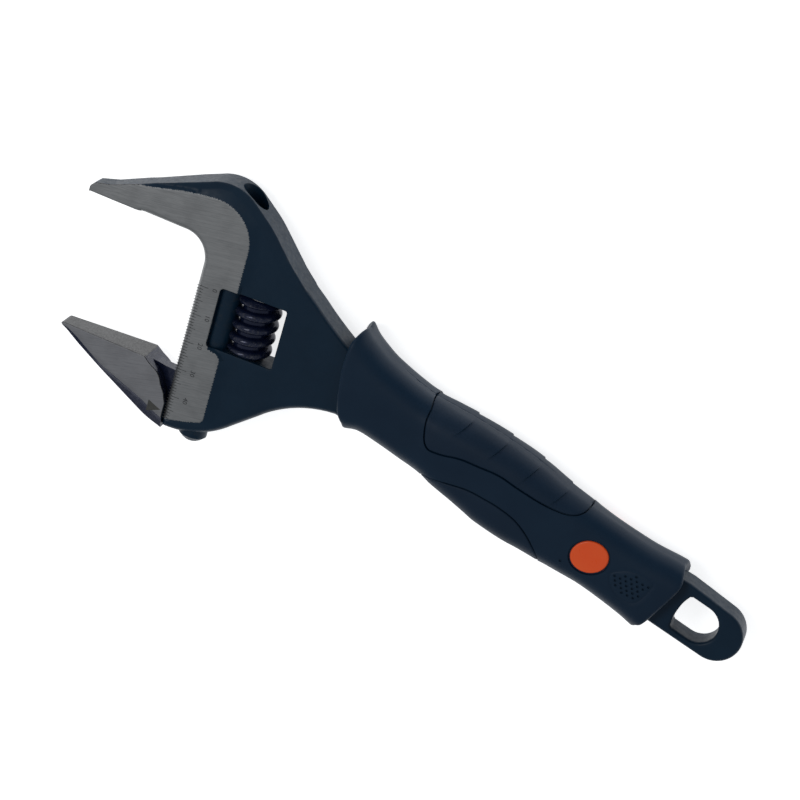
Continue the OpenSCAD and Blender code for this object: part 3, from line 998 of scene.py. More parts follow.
@dataclass
class Forging:
    """Fixed jaw, head, shank and hanging eye: one forging with ground lands."""

    forge_half: float = 5.6
    land_half: float = 6.4
    shank_half: float = 4.2
    eye_half: float = 4.5
    tip_half: float = 2.9
    land_w: float = 13.8
    throat_r: float = 8.5
    crown: tuple[float, float, float] = (-2.4, -4.78, 14.95)
    bore_in: float = 10.0
    bore_r: float = 4.77
    window: tuple[float, float, float, float] = (-31.0, -8.2, 14.2, 35.0)
    window_round: tuple[float, float] = (0.25, 0.25)
    eye_y: float = 0.4
    eye_r: float = 9.05
    eye_round: tuple[float, float] = (1.1, 1.1)
    pin_r: float = 2.56
    pin_neck: float = 43.6
    slot_half: float = 2.42
    slot_top: float = 1.6

    def outline(self) -> tuple[Points, Points]:
        """The whole forging's outline.

        Returns:
            Its points, and for each the height and width of its edge's round.
        """
        cu, cv, cr = self.crown
        parts: list[tuple[Points, float, float]] = []

        def run(points: Points, drop: float, width: float) -> None:
            """Adds a stretch of outline with one kind of edge."""
            parts.append((np.asarray(points, float), drop, width))

        run(LAYOUT.head([[43.5, 0.3], [43.5, -1.5], [43.1, -2.2], [41.8, -3.5]]), 0.35, 0.35)
        run(LAYOUT.head([[36, -4.95], [33, -6.2]]), 0.5, 0.5)
        run(LAYOUT.head([[30, -7.45], [20, -11.65], [10, -15.85], [3.6, -18.45]]), 2.6, 1.9)
        run(LAYOUT.head(arc((cu, cv), cr, -69, -129.5, 22)), 3.1, 2.4)
        run(smooth_curve([(9.9, 32.75), (15.8, 30.1), (21.4, 26.75), (28.2, 22.6), (35.0, 19.1), (41.1, 16.6),
                          (47.1, 14.0), (55.7, 10.9), (63, 9.2), (72, 7.6)], 1.0), 3.1, 2.4)
        run([[100, 7.2], [176, 7.2], [180, 8.4], [183, 10.0]], 1.0, 1.0)
        run([[188, 10.3], [194, 10.0], [199, 9.7]], 1.2, 1.2)
        run(arc((LAYOUT.end_x - self.eye_r, self.eye_y), self.eye_r, 90, -90, 30), 1.2, 1.2)
        run([[183, -8.8], [180, -7.8], [176, -7.2], [100, -7.2]], 1.0, 1.0)
        neck = arc((-56.9, 80.3), 38, -90, -46, 12)
        foot = arc((-2, 38), 30, 134, 91, 16)
        run(np.vstack([[[74, -7.6], [69.5, -9.8]], LAYOUT.head(neck), LAYOUT.head(foot)]), 1.4, 1.1)
        run(LAYOUT.head([[-1.2, 68], [-0.4, 67.9], [0, 67.5]]), 0.6, 0.6)
        run(LAYOUT.head([[0, 60], [0, 12]]), 0.22, 0.22)
        run(LAYOUT.head(arc((self.throat_r, self.throat_r), self.throat_r, 180, 270, 14)), 0.22, 0.22)
        run(LAYOUT.head([[14, 0], [40, 0], [43.2, 0]]), 0.22, 0.22)
        loop = np.vstack([p for p, _, _ in parts])
        rounds = np.vstack([np.tile([d, w], (len(p), 1)) for p, d, w in parts])
        fine = resample(loop, 0.55)
        near = distance(fine, loop)[1]
        kinds = rounds[near]
        for _ in range(3):
            kinds = (np.roll(kinds, 1, 0) + kinds + np.roll(kinds, -1, 0)) / 3
        return fine, kinds

    def land(self) -> Points:
        """The outline of the ground land, run out past the forging's edge."""
        top = smooth_curve([(38, -5.4), (33.5, -7.2), (30.2, -8.0), (22.7, -9.4), (12.9, -12.0), (6.2, -13.2),
                            (1.0, -13.75)])
        turn = arc((0, 0), self.land_w, -96, -180, 16)
        side = [[-self.land_w, 10], [-self.land_w, 18], [-9, 26], [-9, 33], [-9.0, 35.9], [-12.6, 36.6],
                [-self.land_w, 38], [-self.land_w, 58]]
        foot = round_corners([[-self.land_w, 55], [-self.land_w, 60.9], [-8.3, 62.7], [4, 65.6], [4, 50]],
                             [0, 1.8, 0, 0, 0])[1:-1]
        return resample(LAYOUT.head(np.vstack([top, turn, side, foot, [[12, 12], [50, 5], [50, -14]]])), 0.5)

    def window_loop(self) -> Points:
        """The worm's window."""
        u0, u1, v0, v1 = self.window
        loop = round_corners([[u0, v0], [u1, v0], [u1, v1], [u0, v1]], [0.8, 1.3, 1.3, 0.8])
        return resample(LAYOUT.head(loop), 0.6)

    def eye_loop(self) -> Points:
        """The D-shaped hanging hole."""
        r, left = 6.5, LAYOUT.end_x - 23.2
        centre = (LAYOUT.end_x - 15.4, self.eye_y)
        corner_top, corner_low = [left + 0.9, self.eye_y + 6.0], [left + 0.9, self.eye_y - 6.0]
        bow = smooth_curve([corner_low, [left + 0.15, self.eye_y - 3], [left, self.eye_y],
                            [left + 0.15, self.eye_y + 3], corner_top], 0.5)
        loop = np.vstack([bow, [[left + 1.7, self.eye_y + 6.5]], arc(centre, r, 90, -90, 24),
                          [[left + 1.7, self.eye_y - 6.5]]])
        return resample(loop, 0.5)

    def build(self) -> bpy.types.Object:
        """Builds the forging's mesh and its cuts."""
        loop, kinds = self.outline()
        land = self.land()
        window, eye = self.window_loop(), self.eye_loop()
        plan = Plan([loop, window, eye], (0.12, 0.3, 0.6, 1.0, 1.5, 2.0, 2.6),
                    [(land, (-1.25, -1.0, -0.6, -0.2, 0.0, 0.2), True)], 1.9)
        rounds = np.vstack([kinds, np.tile(self.window_round, (len(window), 1)),
                            np.tile(self.eye_round, (len(eye), 1))])

        def height(p: Points, d: Points, where: Points) -> Points:
            """Half the forging's thickness."""
            uv = LAYOUT.to_head(p)
            taper = np.clip((uv[:, 0] - 9.0) / 34.5, 0, 1)
            ground = self.land_half - (self.land_half - self.tip_half) * taper
            forge = np.where(uv[:, 0] > 4, ground - 0.8, self.forge_half)
            forge = forge - (self.forge_half - self.shank_half) * step_up(p[:, 0], 68, 82)
            forge = forge + (self.eye_half - self.shank_half) * step_up(p[:, 0], 174, 182)
            on_land = step_up(signed(p, land), -1.2, 0.0)
            full = forge + (ground - forge) * on_land
            drop, width = rounds[where, 0], rounds[where, 1]
            drop = np.minimum(drop, full * 0.6)
            return full - drop * quarter(d / width)

        def slot(p: Points) -> Points:
            """1 for the ground land, 2 along its edge in the darker ground steel that paints shade there, 0
            for the black coat.
            """
            return np.where(signed(p, land) > 0.0, np.where(distance(p, loop)[0] < 0.2, 2, 1), 0)

        def wall(p: Points) -> Points:
            """2 for the gripping face and the slide edge, in the darker ground steel that paints their shade,
            0 elsewhere.
            """
            uv = LAYOUT.to_head(p)
            face = (uv[:, 0] > 8) & (uv[:, 1] > -0.3) & (uv[:, 1] < 1) & (uv[:, 0] < 43.3)
            throat = (uv[:, 0] > -0.2) & (uv[:, 0] <= 9) & (uv[:, 1] > -0.3)
            return np.where(face | throat, 2, 0)

        body = plate(plan, height, slot, wall).piece("forging", finishes(Look.COAT, Look.LAND, Look.FACE))
        bore = lathe([(0, -60), (self.bore_r, -60), (self.bore_r, 110), (0, 110)],
                     LAYOUT.axis_start(-self.bore_in), LAYOUT.v_dir, 72).piece("bore", finishes(Look.COAT))
        carve(body, bore)
        carve(body, self._slot_tool())
        well = lathe([(0, self.pin_neck), (self.pin_r, self.pin_neck), (self.pin_r, 75), (0, 75)],
                     LAYOUT.axis_start(LAYOUT.worm[0]), LAYOUT.v_dir, 40).piece("well", finishes(Look.COAT))
        carve(body, well)
        smooth(body, 32)
        return body

    def _slot_tool(self) -> bpy.types.Object:
        """The block that cuts the web's slot."""
        near, far, top = -self.bore_in, self.throat_r + 1, self.slot_top
        corners = [[near, top], [far, top], [far, 75], [near, 75]]
        slot = prism(LAYOUT.head(corners), -self.slot_half, self.slot_half)
        return slot.piece("slot_tool", finishes(Look.COAT))


@dataclass
class ScaleMarks:
    """The millimetre scale along the slide edge, with its numbers."""

    first: float = 15.8
    count: int = 49
    lengths: tuple[float, float, float] = (2.3, 3.2, 3.9)
    line_w: float = 0.17
    height: float = 0.03
    digit: float = 2.3
    digit_u: float = -6.4
    land_half: float = 6.4

    def ticks(self) -> bpy.types.Object:
        """Grows the ticks: short, longer at each fifth and longest at each tenth."""
        short, fifth, tenth = (v * MM for v in self.lengths)
        start = LAYOUT.head_row([[-0.32, self.first, self.land_half]])[0]
        tree = NodeTree("scale_ticks", {
            "Count": ("NodeSocketInt", self.count),
            "Start": ("NodeSocketVector", tuple(start)),
            "Step": ("NodeSocketVector", tuple(LAYOUT.v_dir * MM)),
            "Inward": ("NodeSocketVector", tuple(-LAYOUT.u_dir)),
            "Short": ("NodeSocketFloat", short),
            "Fifth": ("NodeSocketFloat", fifth),
            "Tenth": ("NodeSocketFloat", tenth),
            "Line Width": ("NodeSocketFloat", self.line_w * MM),
            "Height": ("NodeSocketFloat", self.height * MM),
            "Turn": ("NodeSocketFloat", LAYOUT.angle),
            "Finish": ("NodeSocketMaterial", Look.MARK.material())})
        g = tree.entry.outputs
        line = tree.add("GeometryNodeMeshLine", {"Count": g["Count"], "Start Location": g["Start"],
                                                 "Offset": g["Step"]}, mode="OFFSET")
        number = tree.add("GeometryNodeInputIndex").outputs[0]
        by_five = tree.add("FunctionNodeCompare", {2: tree.math("MODULO", number, 5.0), 3: 0},
                           data_type="INT", operation="EQUAL").outputs[0]
        by_ten = tree.add("FunctionNodeCompare", {2: tree.math("MODULO", number, 10.0), 3: 0},
                          data_type="INT", operation="EQUAL").outputs[0]
        some = tree.add("GeometryNodeSwitch", {0: by_five, 1: g["Short"], 2: g["Fifth"]}, input_type="FLOAT")
        length = tree.add("GeometryNodeSwitch", {0: by_ten, 1: some.outputs[0], 2: g["Tenth"]},
                          input_type="FLOAT")
        shift = tree.scaled(g["Inward"], tree.math("MULTIPLY", length.outputs[0], 0.5))
        points = tree.add("GeometryNodeSetPosition", {"Geometry": line.outputs[0], "Offset": shift})
        cube = tree.add("GeometryNodeMeshCube", {"Size": (1, 1, 1)})
        size = tree.add("ShaderNodeCombineXYZ", {0: length.outputs[0], 1: g["Line Width"], 2: g["Height"]})
        turn = tree.add("ShaderNodeCombineXYZ", {2: g["Turn"]})
        marks = tree.add("GeometryNodeInstanceOnPoints", {
            "Points": points.outputs[0], "Instance": cube.outputs[0], "Rotation": turn.outputs[0],
            "Scale": size.outputs[0]})
        tree.finish(marks.outputs[0])
        return tree.grow(empty_piece("scale_ticks"))

    def numbers(self) -> bpy.types.Object:
        """Builds the numbers 0 to 40, read with the jaws to the left."""
        pieces = []
        for value in range(0, 50, 10):
            curve = bpy.data.curves.new(f"number_{value}", "FONT")
            curve.body, curve.size, curve.extrude = str(value), self.digit * MM, self.height * MM / 2
            curve.align_x, curve.align_y, curve.resolution_u = "CENTER", "CENTER", 2
            text = placed(curve.name, curve)
            bpy.context.view_layer.update()
            graph = bpy.context.evaluated_depsgraph_get()
            mesh = bpy.data.meshes.new_from_object(text.evaluated_get(graph), depsgraph=graph)
            bpy.data.objects.remove(text, do_unlink=True)
            spot = LAYOUT.head_row([[self.digit_u, self.first + value, self.land_half]])[0]
            mesh.transform(Matrix.Translation(spot) @ Matrix.Rotation(LAYOUT.angle - math.pi / 2, 4, "Z"))
            pieces.append(mesh)
        bm = bmesh.new()
        for mesh in pieces:
            bm.from_mesh(mesh)
        out = bpy.data.meshes.new("scale_numbers")
        mend(bm, out)
        out.materials.clear()
        out.materials.append(Look.MARK.material())
        out.polygons.foreach_set("material_index", [0] * len(out.polygons))
        return placed("scale_numbers", out)


# ---------------------------------------------------------------- the movable jaw


@dataclass
class MovableJaw:
    """Blade, web, round guide and rack, in head coordinates counted from the gripping face."""

    reach: float = 41.7
    land_half: float = 6.4
    tip_half: float = 3.7
    taper_from: float = 9.0
    rim: float = 0.22
    low_half: float = 4.1
    web_half: float = 2.3
    guide_in: float = 10.0
    guide_r: float = 4.7
    above: float = 34.0
    below: float = 22.3
    rack_start: float = -33.7
    rack_count: int = 14
    pitch: float = 4.4

    def _plane(self, points: Sequence[Sequence[float]]) -> Points:
        """Jaw points turned into the wrench's (x, y)."""
        p = np.asarray(points, float)
        return LAYOUT.head(np.column_stack([p[:, 0], p[:, 1] + LAYOUT.opening]))

    def blade(self) -> bpy.types.Object:
        """The blade: a ground face with a black sloped flank below it."""
        scallop = smooth_curve([(10.7, 0.05), (8.3, 1.8), (5.6, 3.4), (4.0, 5.2), (3.0, 7.4), (1.5, 9.7),
                                (0.8, 11.6), (0.12, 13.2)], 0.5)
        low = smooth_curve([(0.12, 22.95), (6.2, 20.8), (12.5, 17.5), (16.7, 15.2), (25.1, 10.6), (33.6, 5.6),
                            (39.4, 2.1)], 0.6)
        tip = [[12, 0], [40.9, 0], [41.5, 0.25], [41.7, 0.7], [41.2, 1.15]]
        rim = np.vstack([scallop[::-1], tip, low[::-1]])
        loop = resample(self._plane(rim), 0.5)
        under = smooth_curve([(-3, 20.2), (0.7, 18.3), (2.5, 17.6), (8.8, 14.5), (16.7, 11.7), (24.6, 8.9),
                              (30.9, 5.5), (35.1, 3.1), (39.0, 1.3)], 0.5)
        ground = self._plane(np.vstack([[[-3, -4], [46, -4], [46, 0.6], [41.5, 0.8]], under[::-1]]))
        plan = Plan([loop], (0.1, 0.22, 0.45, 0.8),
                    [(resample(ground, 0.5), (-0.35, -0.12, 0.0, 0.12), True)], 1.5)

        def height(p: Points, d: Points, where: Points) -> Points:
            """Half the blade's thickness."""
            uv = LAYOUT.to_head(p)
            u = uv[:, 0]
            along = np.clip((u - self.taper_from) / (self.reach - self.taper_from), 0, 1)
            face = self.land_half - (self.land_half - self.tip_half) * along
            off = np.maximum(-signed(p, ground), 0)
            low_gap = distance(p, self._plane(low), False)[0]
            slope = off / np.maximum(off + low_gap, 1e-6)
            foot = np.minimum(self.low_half, face - 0.2)
            full = face - (face - foot) * slope ** 0.9 * np.where(off > 0, 1, 0)
            return full - np.minimum(self.rim, full * 0.3) * quarter(d / self.rim)

        def slot(p: Points) -> Points:
            """0 for the ground face, 2 along its edge in the darker ground steel that paints shade there, 3
            for the black flank.
            """
            return np.where(signed(p, ground) > 0, np.where(distance(p, loop)[0] < 0.2, 2, 0), 3)

        def wall(p: Points) -> Points:
            """2 for the gripping face and tip in the darker ground steel, painted shade; 3 for the bite in
            the oiled black, painted shade; 1 for the forged edges.
            """
            uv = LAYOUT.to_head(p)
            v = uv[:, 1] - LAYOUT.opening
            tip = uv[:, 0] > 40.8
            # The bite's wall takes the oiled black, painted shade for the hollow of the bite.
            bite = (uv[:, 0] < 10.6) & (v < 13.3)
            return np.where(((v < 0.3) & (uv[:, 0] > 10.5)) | tip, 2, np.where(bite, 3, 1))

        return plate(plan, height, slot, wall).piece("jaw_blade", finishes(*JAW_LOOKS))

    def web(self) -> bpy.types.Object:
        """The thin web between the blade and the guide."""
        rim = [[11, 1.6], [9.0, 1.5], [6.7, 1.75], [3.6, 2.3], [0, 2.5], [-self.guide_in, 2.5],
               [-self.guide_in, 21.6], [0.3, 21.9], [3, 20.6], [11, 12]]
        # The web takes the oiled black (slot 3), painted shade where it sits between the blade and the head.
        block = prism(self._plane(rim), -self.web_half, self.web_half, 3)
        return block.piece("jaw_web", finishes(*JAW_LOOKS))

    def guide(self) -> bpy.types.Object:
        """The round guide, chamfered at both ends."""
        top, low = LAYOUT.opening - self.above, LAYOUT.opening + self.below
        r = self.guide_r
        rows = [(r, h) for h in np.arange(top + 0.6, low - 0.3, 1.6)]
        profile = [(0, top), (r - 0.6, top), (r, top + 0.6)] + rows[1:] + [(r, low), (r - 1.2, low + 1.2),
                                                                       (r - 2.2, low + 1.9), (0, low + 1.95)]
        shell = lathe(profile, LAYOUT.axis_start(-self.guide_in), LAYOUT.v_dir, 72)
        shell.slots = [1] * len(shell.faces)
        return shell.piece("jaw_guide", finishes(*JAW_LOOKS))

    def rack_tool(self, worm: "Worm") -> bpy.types.Object:
        """Repeats one gap of the rack along the guide, as a tool that cuts it.

        Args:
            worm: the worm whose thread runs in the gaps.

        Returns:
            The tool.
        """
        play = 0.22
        half, root, crest = worm.thread_w / 2 + play, worm.root_r - 1.5, LAYOUT.worm_r + play
        side = [(root, 1.0), (root + 1.3, 0.97), (root + 2.3, 0.84), (crest - 0.45, 0.62),
                (crest - 0.1, 0.35)]
        profile = [(0, -half), *((r, -half * w) for r, w in side), (crest, 0),
                   *((r, half * w) for r, w in side[::-1]), (0, half)]
        disc = lathe(profile, np.zeros(3), Vector((0, 0, 1)), 56)
        disc.verts = disc.verts - LAYOUT.offset
        part = disc.piece("rack_gap", finishes(Look.OILED))
        start = LAYOUT.head_row([[LAYOUT.worm[0], LAYOUT.opening + self.rack_start, 0]])[0]
        lead = math.atan(self.pitch / (math.pi * (LAYOUT.worm_r + worm.root_r)))
        axis = (LAYOUT.v_dir * math.cos(lead) + Vector((0, 0, 1)) * math.sin(lead)).normalized()
        turn = Vector((0, 0, 1)).rotation_difference(axis).to_euler()
        tree = NodeTree("rack_gaps", {
            "Count": ("NodeSocketInt", self.rack_count),
            "Start": ("NodeSocketVector", tuple(start)),
            "Pitch": ("NodeSocketVector", tuple(LAYOUT.v_dir * self.pitch * MM)),
            "Turn": ("NodeSocketVector", tuple(turn)),
            "Gap": ("NodeSocketObject", part),
            "Finish": ("NodeSocketMaterial", Look.OILED.material())})
        g = tree.entry.outputs
        line = tree.add("GeometryNodeMeshLine", {"Count": g["Count"], "Start Location": g["Start"],
                                                 "Offset": g["Pitch"]}, mode="OFFSET")
        info = tree.add("GeometryNodeObjectInfo", {"Object": g["Gap"]})
        gaps = tree.add("GeometryNodeInstanceOnPoints", {
            "Points": line.outputs[0], "Instance": info.outputs["Geometry"], "Rotation": g["Turn"]})
        tree.finish(gaps.outputs[0])
        tool = tree.grow(empty_piece("rack_tool"))
        bpy.data.objects.remove(part, do_unlink=True)
        return tool

    def build(self, worm: "Worm") -> bpy.types.Object:
        """Builds the jaw as one piece."""
        guide = self.guide()
        tool = self.rack_tool(worm)
        tool.data.materials.clear()
        for material in finishes(*JAW_LOOKS):
            tool.data.materials.append(material)
        tool.data.polygons.foreach_set("material_index", [3] * len(tool.data.polygons))
        carve(guide, tool)
        jaw = self.blade()
        carve(jaw, self.web(), "UNION")
        carve(jaw, guide, "UNION")
        jaw.name = "movable_jaw_piece"
        smooth(jaw, 30)
        return jaw

    def pointer(self) -> bpy.types.Object:
        """The etched triangle that reads the scale."""
        u0, u1, mid, half, lift = 0.9, 5.6, 15.9, 2.0, 0.02
        flat = self._plane([[u0, mid], [u1, mid - half], [u1, mid + half]])
        mark = prism(flat, self.land_half - lift, self.land_half + lift)
        return mark.piece("jaw_pointer", finishes(Look.POINTER))


# ---------------------------------------------------------------- worm, spring and pin


@dataclass
class Worm:
    """The thumb worm: a round-topped thread on a bored core."""

    root_r: float = 5.4
    pitch: float = 4.4
    thread_w: float = 3.1
    top: float = 14.5
    length: float = 20.2
    bore_r: float = 1.66
    pocket_r: float = 3.1
    pocket: float = 5.0

    def thread(self, jaw: MovableJaw) -> bpy.types.Object:
        """Grows the thread's skin: a grid rolled round the axis, its radius set by the thread's rule.

        Args:
            jaw: the jaw whose rack the thread meets.

        Returns:
            The open skin.
        """
        phase = jaw.rack_start + LAYOUT.opening - self.top
        start = LAYOUT.head_row([[LAYOUT.worm[0], self.top, 0]])[0]
        tree = NodeTree("worm_thread", {
            "Around": ("NodeSocketInt", 97),
            "Along": ("NodeSocketInt", 230),
            "Length": ("NodeSocketFloat", self.length),
            "Pitch": ("NodeSocketFloat", self.pitch),
            "Phase": ("NodeSocketFloat", phase),
            "Thread Width": ("NodeSocketFloat", self.thread_w),
            "Root Radius": ("NodeSocketFloat", self.root_r),
            "Crest Radius": ("NodeSocketFloat", LAYOUT.worm_r - 0.02),
            "Start": ("NodeSocketVector", tuple(start)),
            "Axis": ("NodeSocketVector", tuple(LAYOUT.v_dir * MM)),
            "Side": ("NodeSocketVector", tuple(LAYOUT.u_dir * MM)),
            "Up": ("NodeSocketVector", (0, 0, MM)),
            "Finish": ("NodeSocketMaterial", Look.OILED.material())})
        g, m = tree.entry.outputs, tree.math
        grid = tree.add("GeometryNodeMeshGrid", {"Size X": 1.0, "Size Y": 1.0, "Vertices X": g["Around"],
                                                 "Vertices Y": g["Along"]})
        place = tree.add("ShaderNodeSeparateXYZ", {0: tree.add("GeometryNodeInputPosition").outputs[0]})
        turn = m("ADD", place.outputs[0], 0.5)
        along = m("MULTIPLY", m("ADD", place.outputs[1], 0.5), g["Length"])
        angle = m("MULTIPLY", turn, 2 * math.pi)
        wave = m("DIVIDE", m("SUBTRACT", along, g["Phase"]), g["Pitch"])
        wave = m("SUBTRACT", wave, m("SUBTRACT", turn, 0.25))
        near = m("MULTIPLY", m("ABSOLUTE", m("SUBTRACT", wave, m("ROUND", wave))), g["Pitch"])
        share = m("DIVIDE", m("MULTIPLY", near, 2.0), g["Thread Width"])
        dome = m("SQRT", m("MAXIMUM", m("SUBTRACT", 1.0, m("MULTIPLY", share, share)), 0.0))
        rise = m("MULTIPLY", m("SUBTRACT", g["Crest Radius"], g["Root Radius"]), dome)
        radius = m("ADD", g["Root Radius"], rise)
        end = m("MINIMUM", along, m("SUBTRACT", g["Length"], along))
        taper = m("MULTIPLY", m("POWER", end, 0.6), 1.9)
        radius = m("MINIMUM", radius, m("ADD", m("ADD", g["Root Radius"], -0.3), taper))
        spot = tree.plus(g["Start"], tree.scaled(g["Axis"], along))
        spot = tree.plus(spot, tree.scaled(g["Side"], m("MULTIPLY", radius, m("SINE", angle))))
        spot = tree.plus(spot, tree.scaled(g["Up"], m("MULTIPLY", radius, m("COSINE", angle))))
        rolled = tree.add("GeometryNodeSetPosition", {"Geometry": grid.outputs[0], "Position": spot})
        sewn = tree.add("GeometryNodeMergeByDistance", {"Geometry": rolled.outputs[0], "Distance": 2e-6})
        tree.finish(sewn.outputs[0])
        return tree.grow(empty_piece("worm_piece"))

    def build(self, jaw: MovableJaw) -> bpy.types.Object:
        """Builds the worm and closes its ends round its bore and its spring's pocket."""
        worm = self.thread(jaw)
        start = Vector(LAYOUT.head_row([[LAYOUT.worm[0], self.top, 0]])[0])
        axis, side, up = LAYOUT.v_dir, LAYOUT.u_dir, Vector((0, 0, 1))
        bm = bmesh.new()
        bm.from_mesh(worm.data)
        open_verts = [v for v in bm.verts if any(e.is_boundary for e in v.link_edges)]

        def place(v: bmesh.types.BMVert) -> tuple[float, float]:
            """A point's angle about the axis and height along it."""
            p = v.co - start
            return math.atan2(p.dot(side), p.dot(up)), p.dot(axis)

        ends = [sorted((v for v in open_verts if (place(v)[1] > 0.5 * self.length * MM) == far),
                       key=lambda v: place(v)[0]) for far in (False, True)]

        def ring(like: list, r: float, h: float) -> list:
            """A new ring of points at the angles of another."""
            return [bm.verts.new(start + axis * h * MM + (side * math.sin(place(v)[0])
                    + up * math.cos(place(v)[0])) * r * MM) for v in like]

        near, far = ends
        chain = [near, ring(near, self.bore_r + 0.3, 0), ring(near, self.bore_r, 0.3),
                 ring(near, self.bore_r, self.length - self.pocket),
                 ring(near, self.pocket_r, self.length - self.pocket),
                 ring(near, self.pocket_r, self.length - 0.25),
                 ring(near, self.pocket_r + 0.25, self.length), far]
        for a, b in zip(chain, chain[1:]):
            for i in range(len(a)):
                k = (i + 1) % len(a)
                bm.faces.new((a[i], a[k], b[k], b[i]))
        bmesh.ops.recalc_face_normals(bm, faces=bm.faces)
        edge = bm.verts.layers.float.new("edge")
        for v in bm.verts:
            p = v.co - start
            r = (p - axis * p.dot(axis)).length / MM
            v[edge] = max(0.0, min(1.0, (r - LAYOUT.worm_r + 0.7) / 0.7))
        bm.to_mesh(worm.data)
        bm.free()
        smooth(worm, 40)
        return worm


@dataclass
class Spring:
    """The coil spring in the worm's lower end."""

    wire_r: float = 0.35
    coil_r: float = 2.5
    turns: float = 5.0
    start: float = 29.78
    length: float = 5.12

    def build(self) -> bpy.types.Object:
        """Grows the coil along its spiral."""
        spot = LAYOUT.head_row([[LAYOUT.worm[0], self.start + self.wire_r, 0]])[0]
        turn = Vector((0, 0, 1)).rotation_difference(LAYOUT.v_dir).to_euler()
        tree = NodeTree("spring_coil", {
            "Turns": ("NodeSocketFloat", self.turns),
            "Coil Radius": ("NodeSocketFloat", self.coil_r * MM),
            "Wire Radius": ("NodeSocketFloat", self.wire_r * MM),
            "Length": ("NodeSocketFloat", (self.length - 2 * self.wire_r) * MM),
            "Start": ("NodeSocketVector", tuple(spot)),
            "Turn": ("NodeSocketVector", tuple(turn)),
            "Finish": ("NodeSocketMaterial", Look.WIRE.material())})
        g = tree.entry.outputs
        coil = tree.add("GeometryNodeCurveSpiral", {
            "Resolution": 32, "Rotations": g["Turns"], "Start Radius": g["Coil Radius"],
            "End Radius": g["Coil Radius"], "Height": g["Length"]})
        wire = tree.add("GeometryNodeCurvePrimitiveCircle", {"Resolution": 12, "Radius": g["Wire Radius"]})
        tube = tree.add("GeometryNodeCurveToMesh", {
            "Curve": coil.outputs[0], "Profile Curve": wire.outputs[0], "Fill Caps": True})
        moved = tree.add("GeometryNodeTransform", {"Geometry": tube.outputs[0], "Translation": g["Start"],
                                                   "Rotation": g["Turn"]})
        tree.finish(moved.outputs[0])
        spring = tree.grow(empty_piece("spring_coil"))
        bm = bmesh.new()
        bm.from_mesh(spring.data)
        mend(bm, spring.data)
        smooth(spring, 50)
        return spring


@dataclass
class Pin:
    """The pin the worm turns on, with a slotted head at its foot."""

    top: float = 9.2
    neck: float = 44.0
    foot: float = 57.5
    shank_r: float = 1.6
    head_r: float = 2.5
    slot_w: float = 0.9
    slot_d: float = 1.2

    def build(self) -> bpy.types.Object:
        """Turns the pin and cuts its driver slot."""
        profile = [(0, self.top + 0.3), (self.shank_r - 0.4, self.top + 0.3), (self.shank_r, self.top + 0.7),
                   (self.shank_r, self.neck), (self.head_r - 0.2, self.neck), (self.head_r, self.neck + 0.2),
                   (self.head_r, self.foot - 0.35), (self.head_r - 0.35, self.foot), (0, self.foot)]
        pin = lathe(profile, LAYOUT.axis_start(LAYOUT.worm[0]), LAYOUT.v_dir, 48).piece(
            "worm_pin_piece", finishes(Look.PIN))
        half, reach = self.slot_w / 2, self.head_r + 1
        u = LAYOUT.worm[0]
        flat = LAYOUT.head([[u - half, self.foot - self.slot_d], [u + half, self.foot - self.slot_d],
                            [u + half, self.foot + 1], [u - half, self.foot + 1]])
        carve(pin, prism(flat, -reach, reach).piece("pin_slot", finishes(Look.PIN)))
        smooth(pin, 35)
        return pin


# ---------------------------------------------------------------- the grip


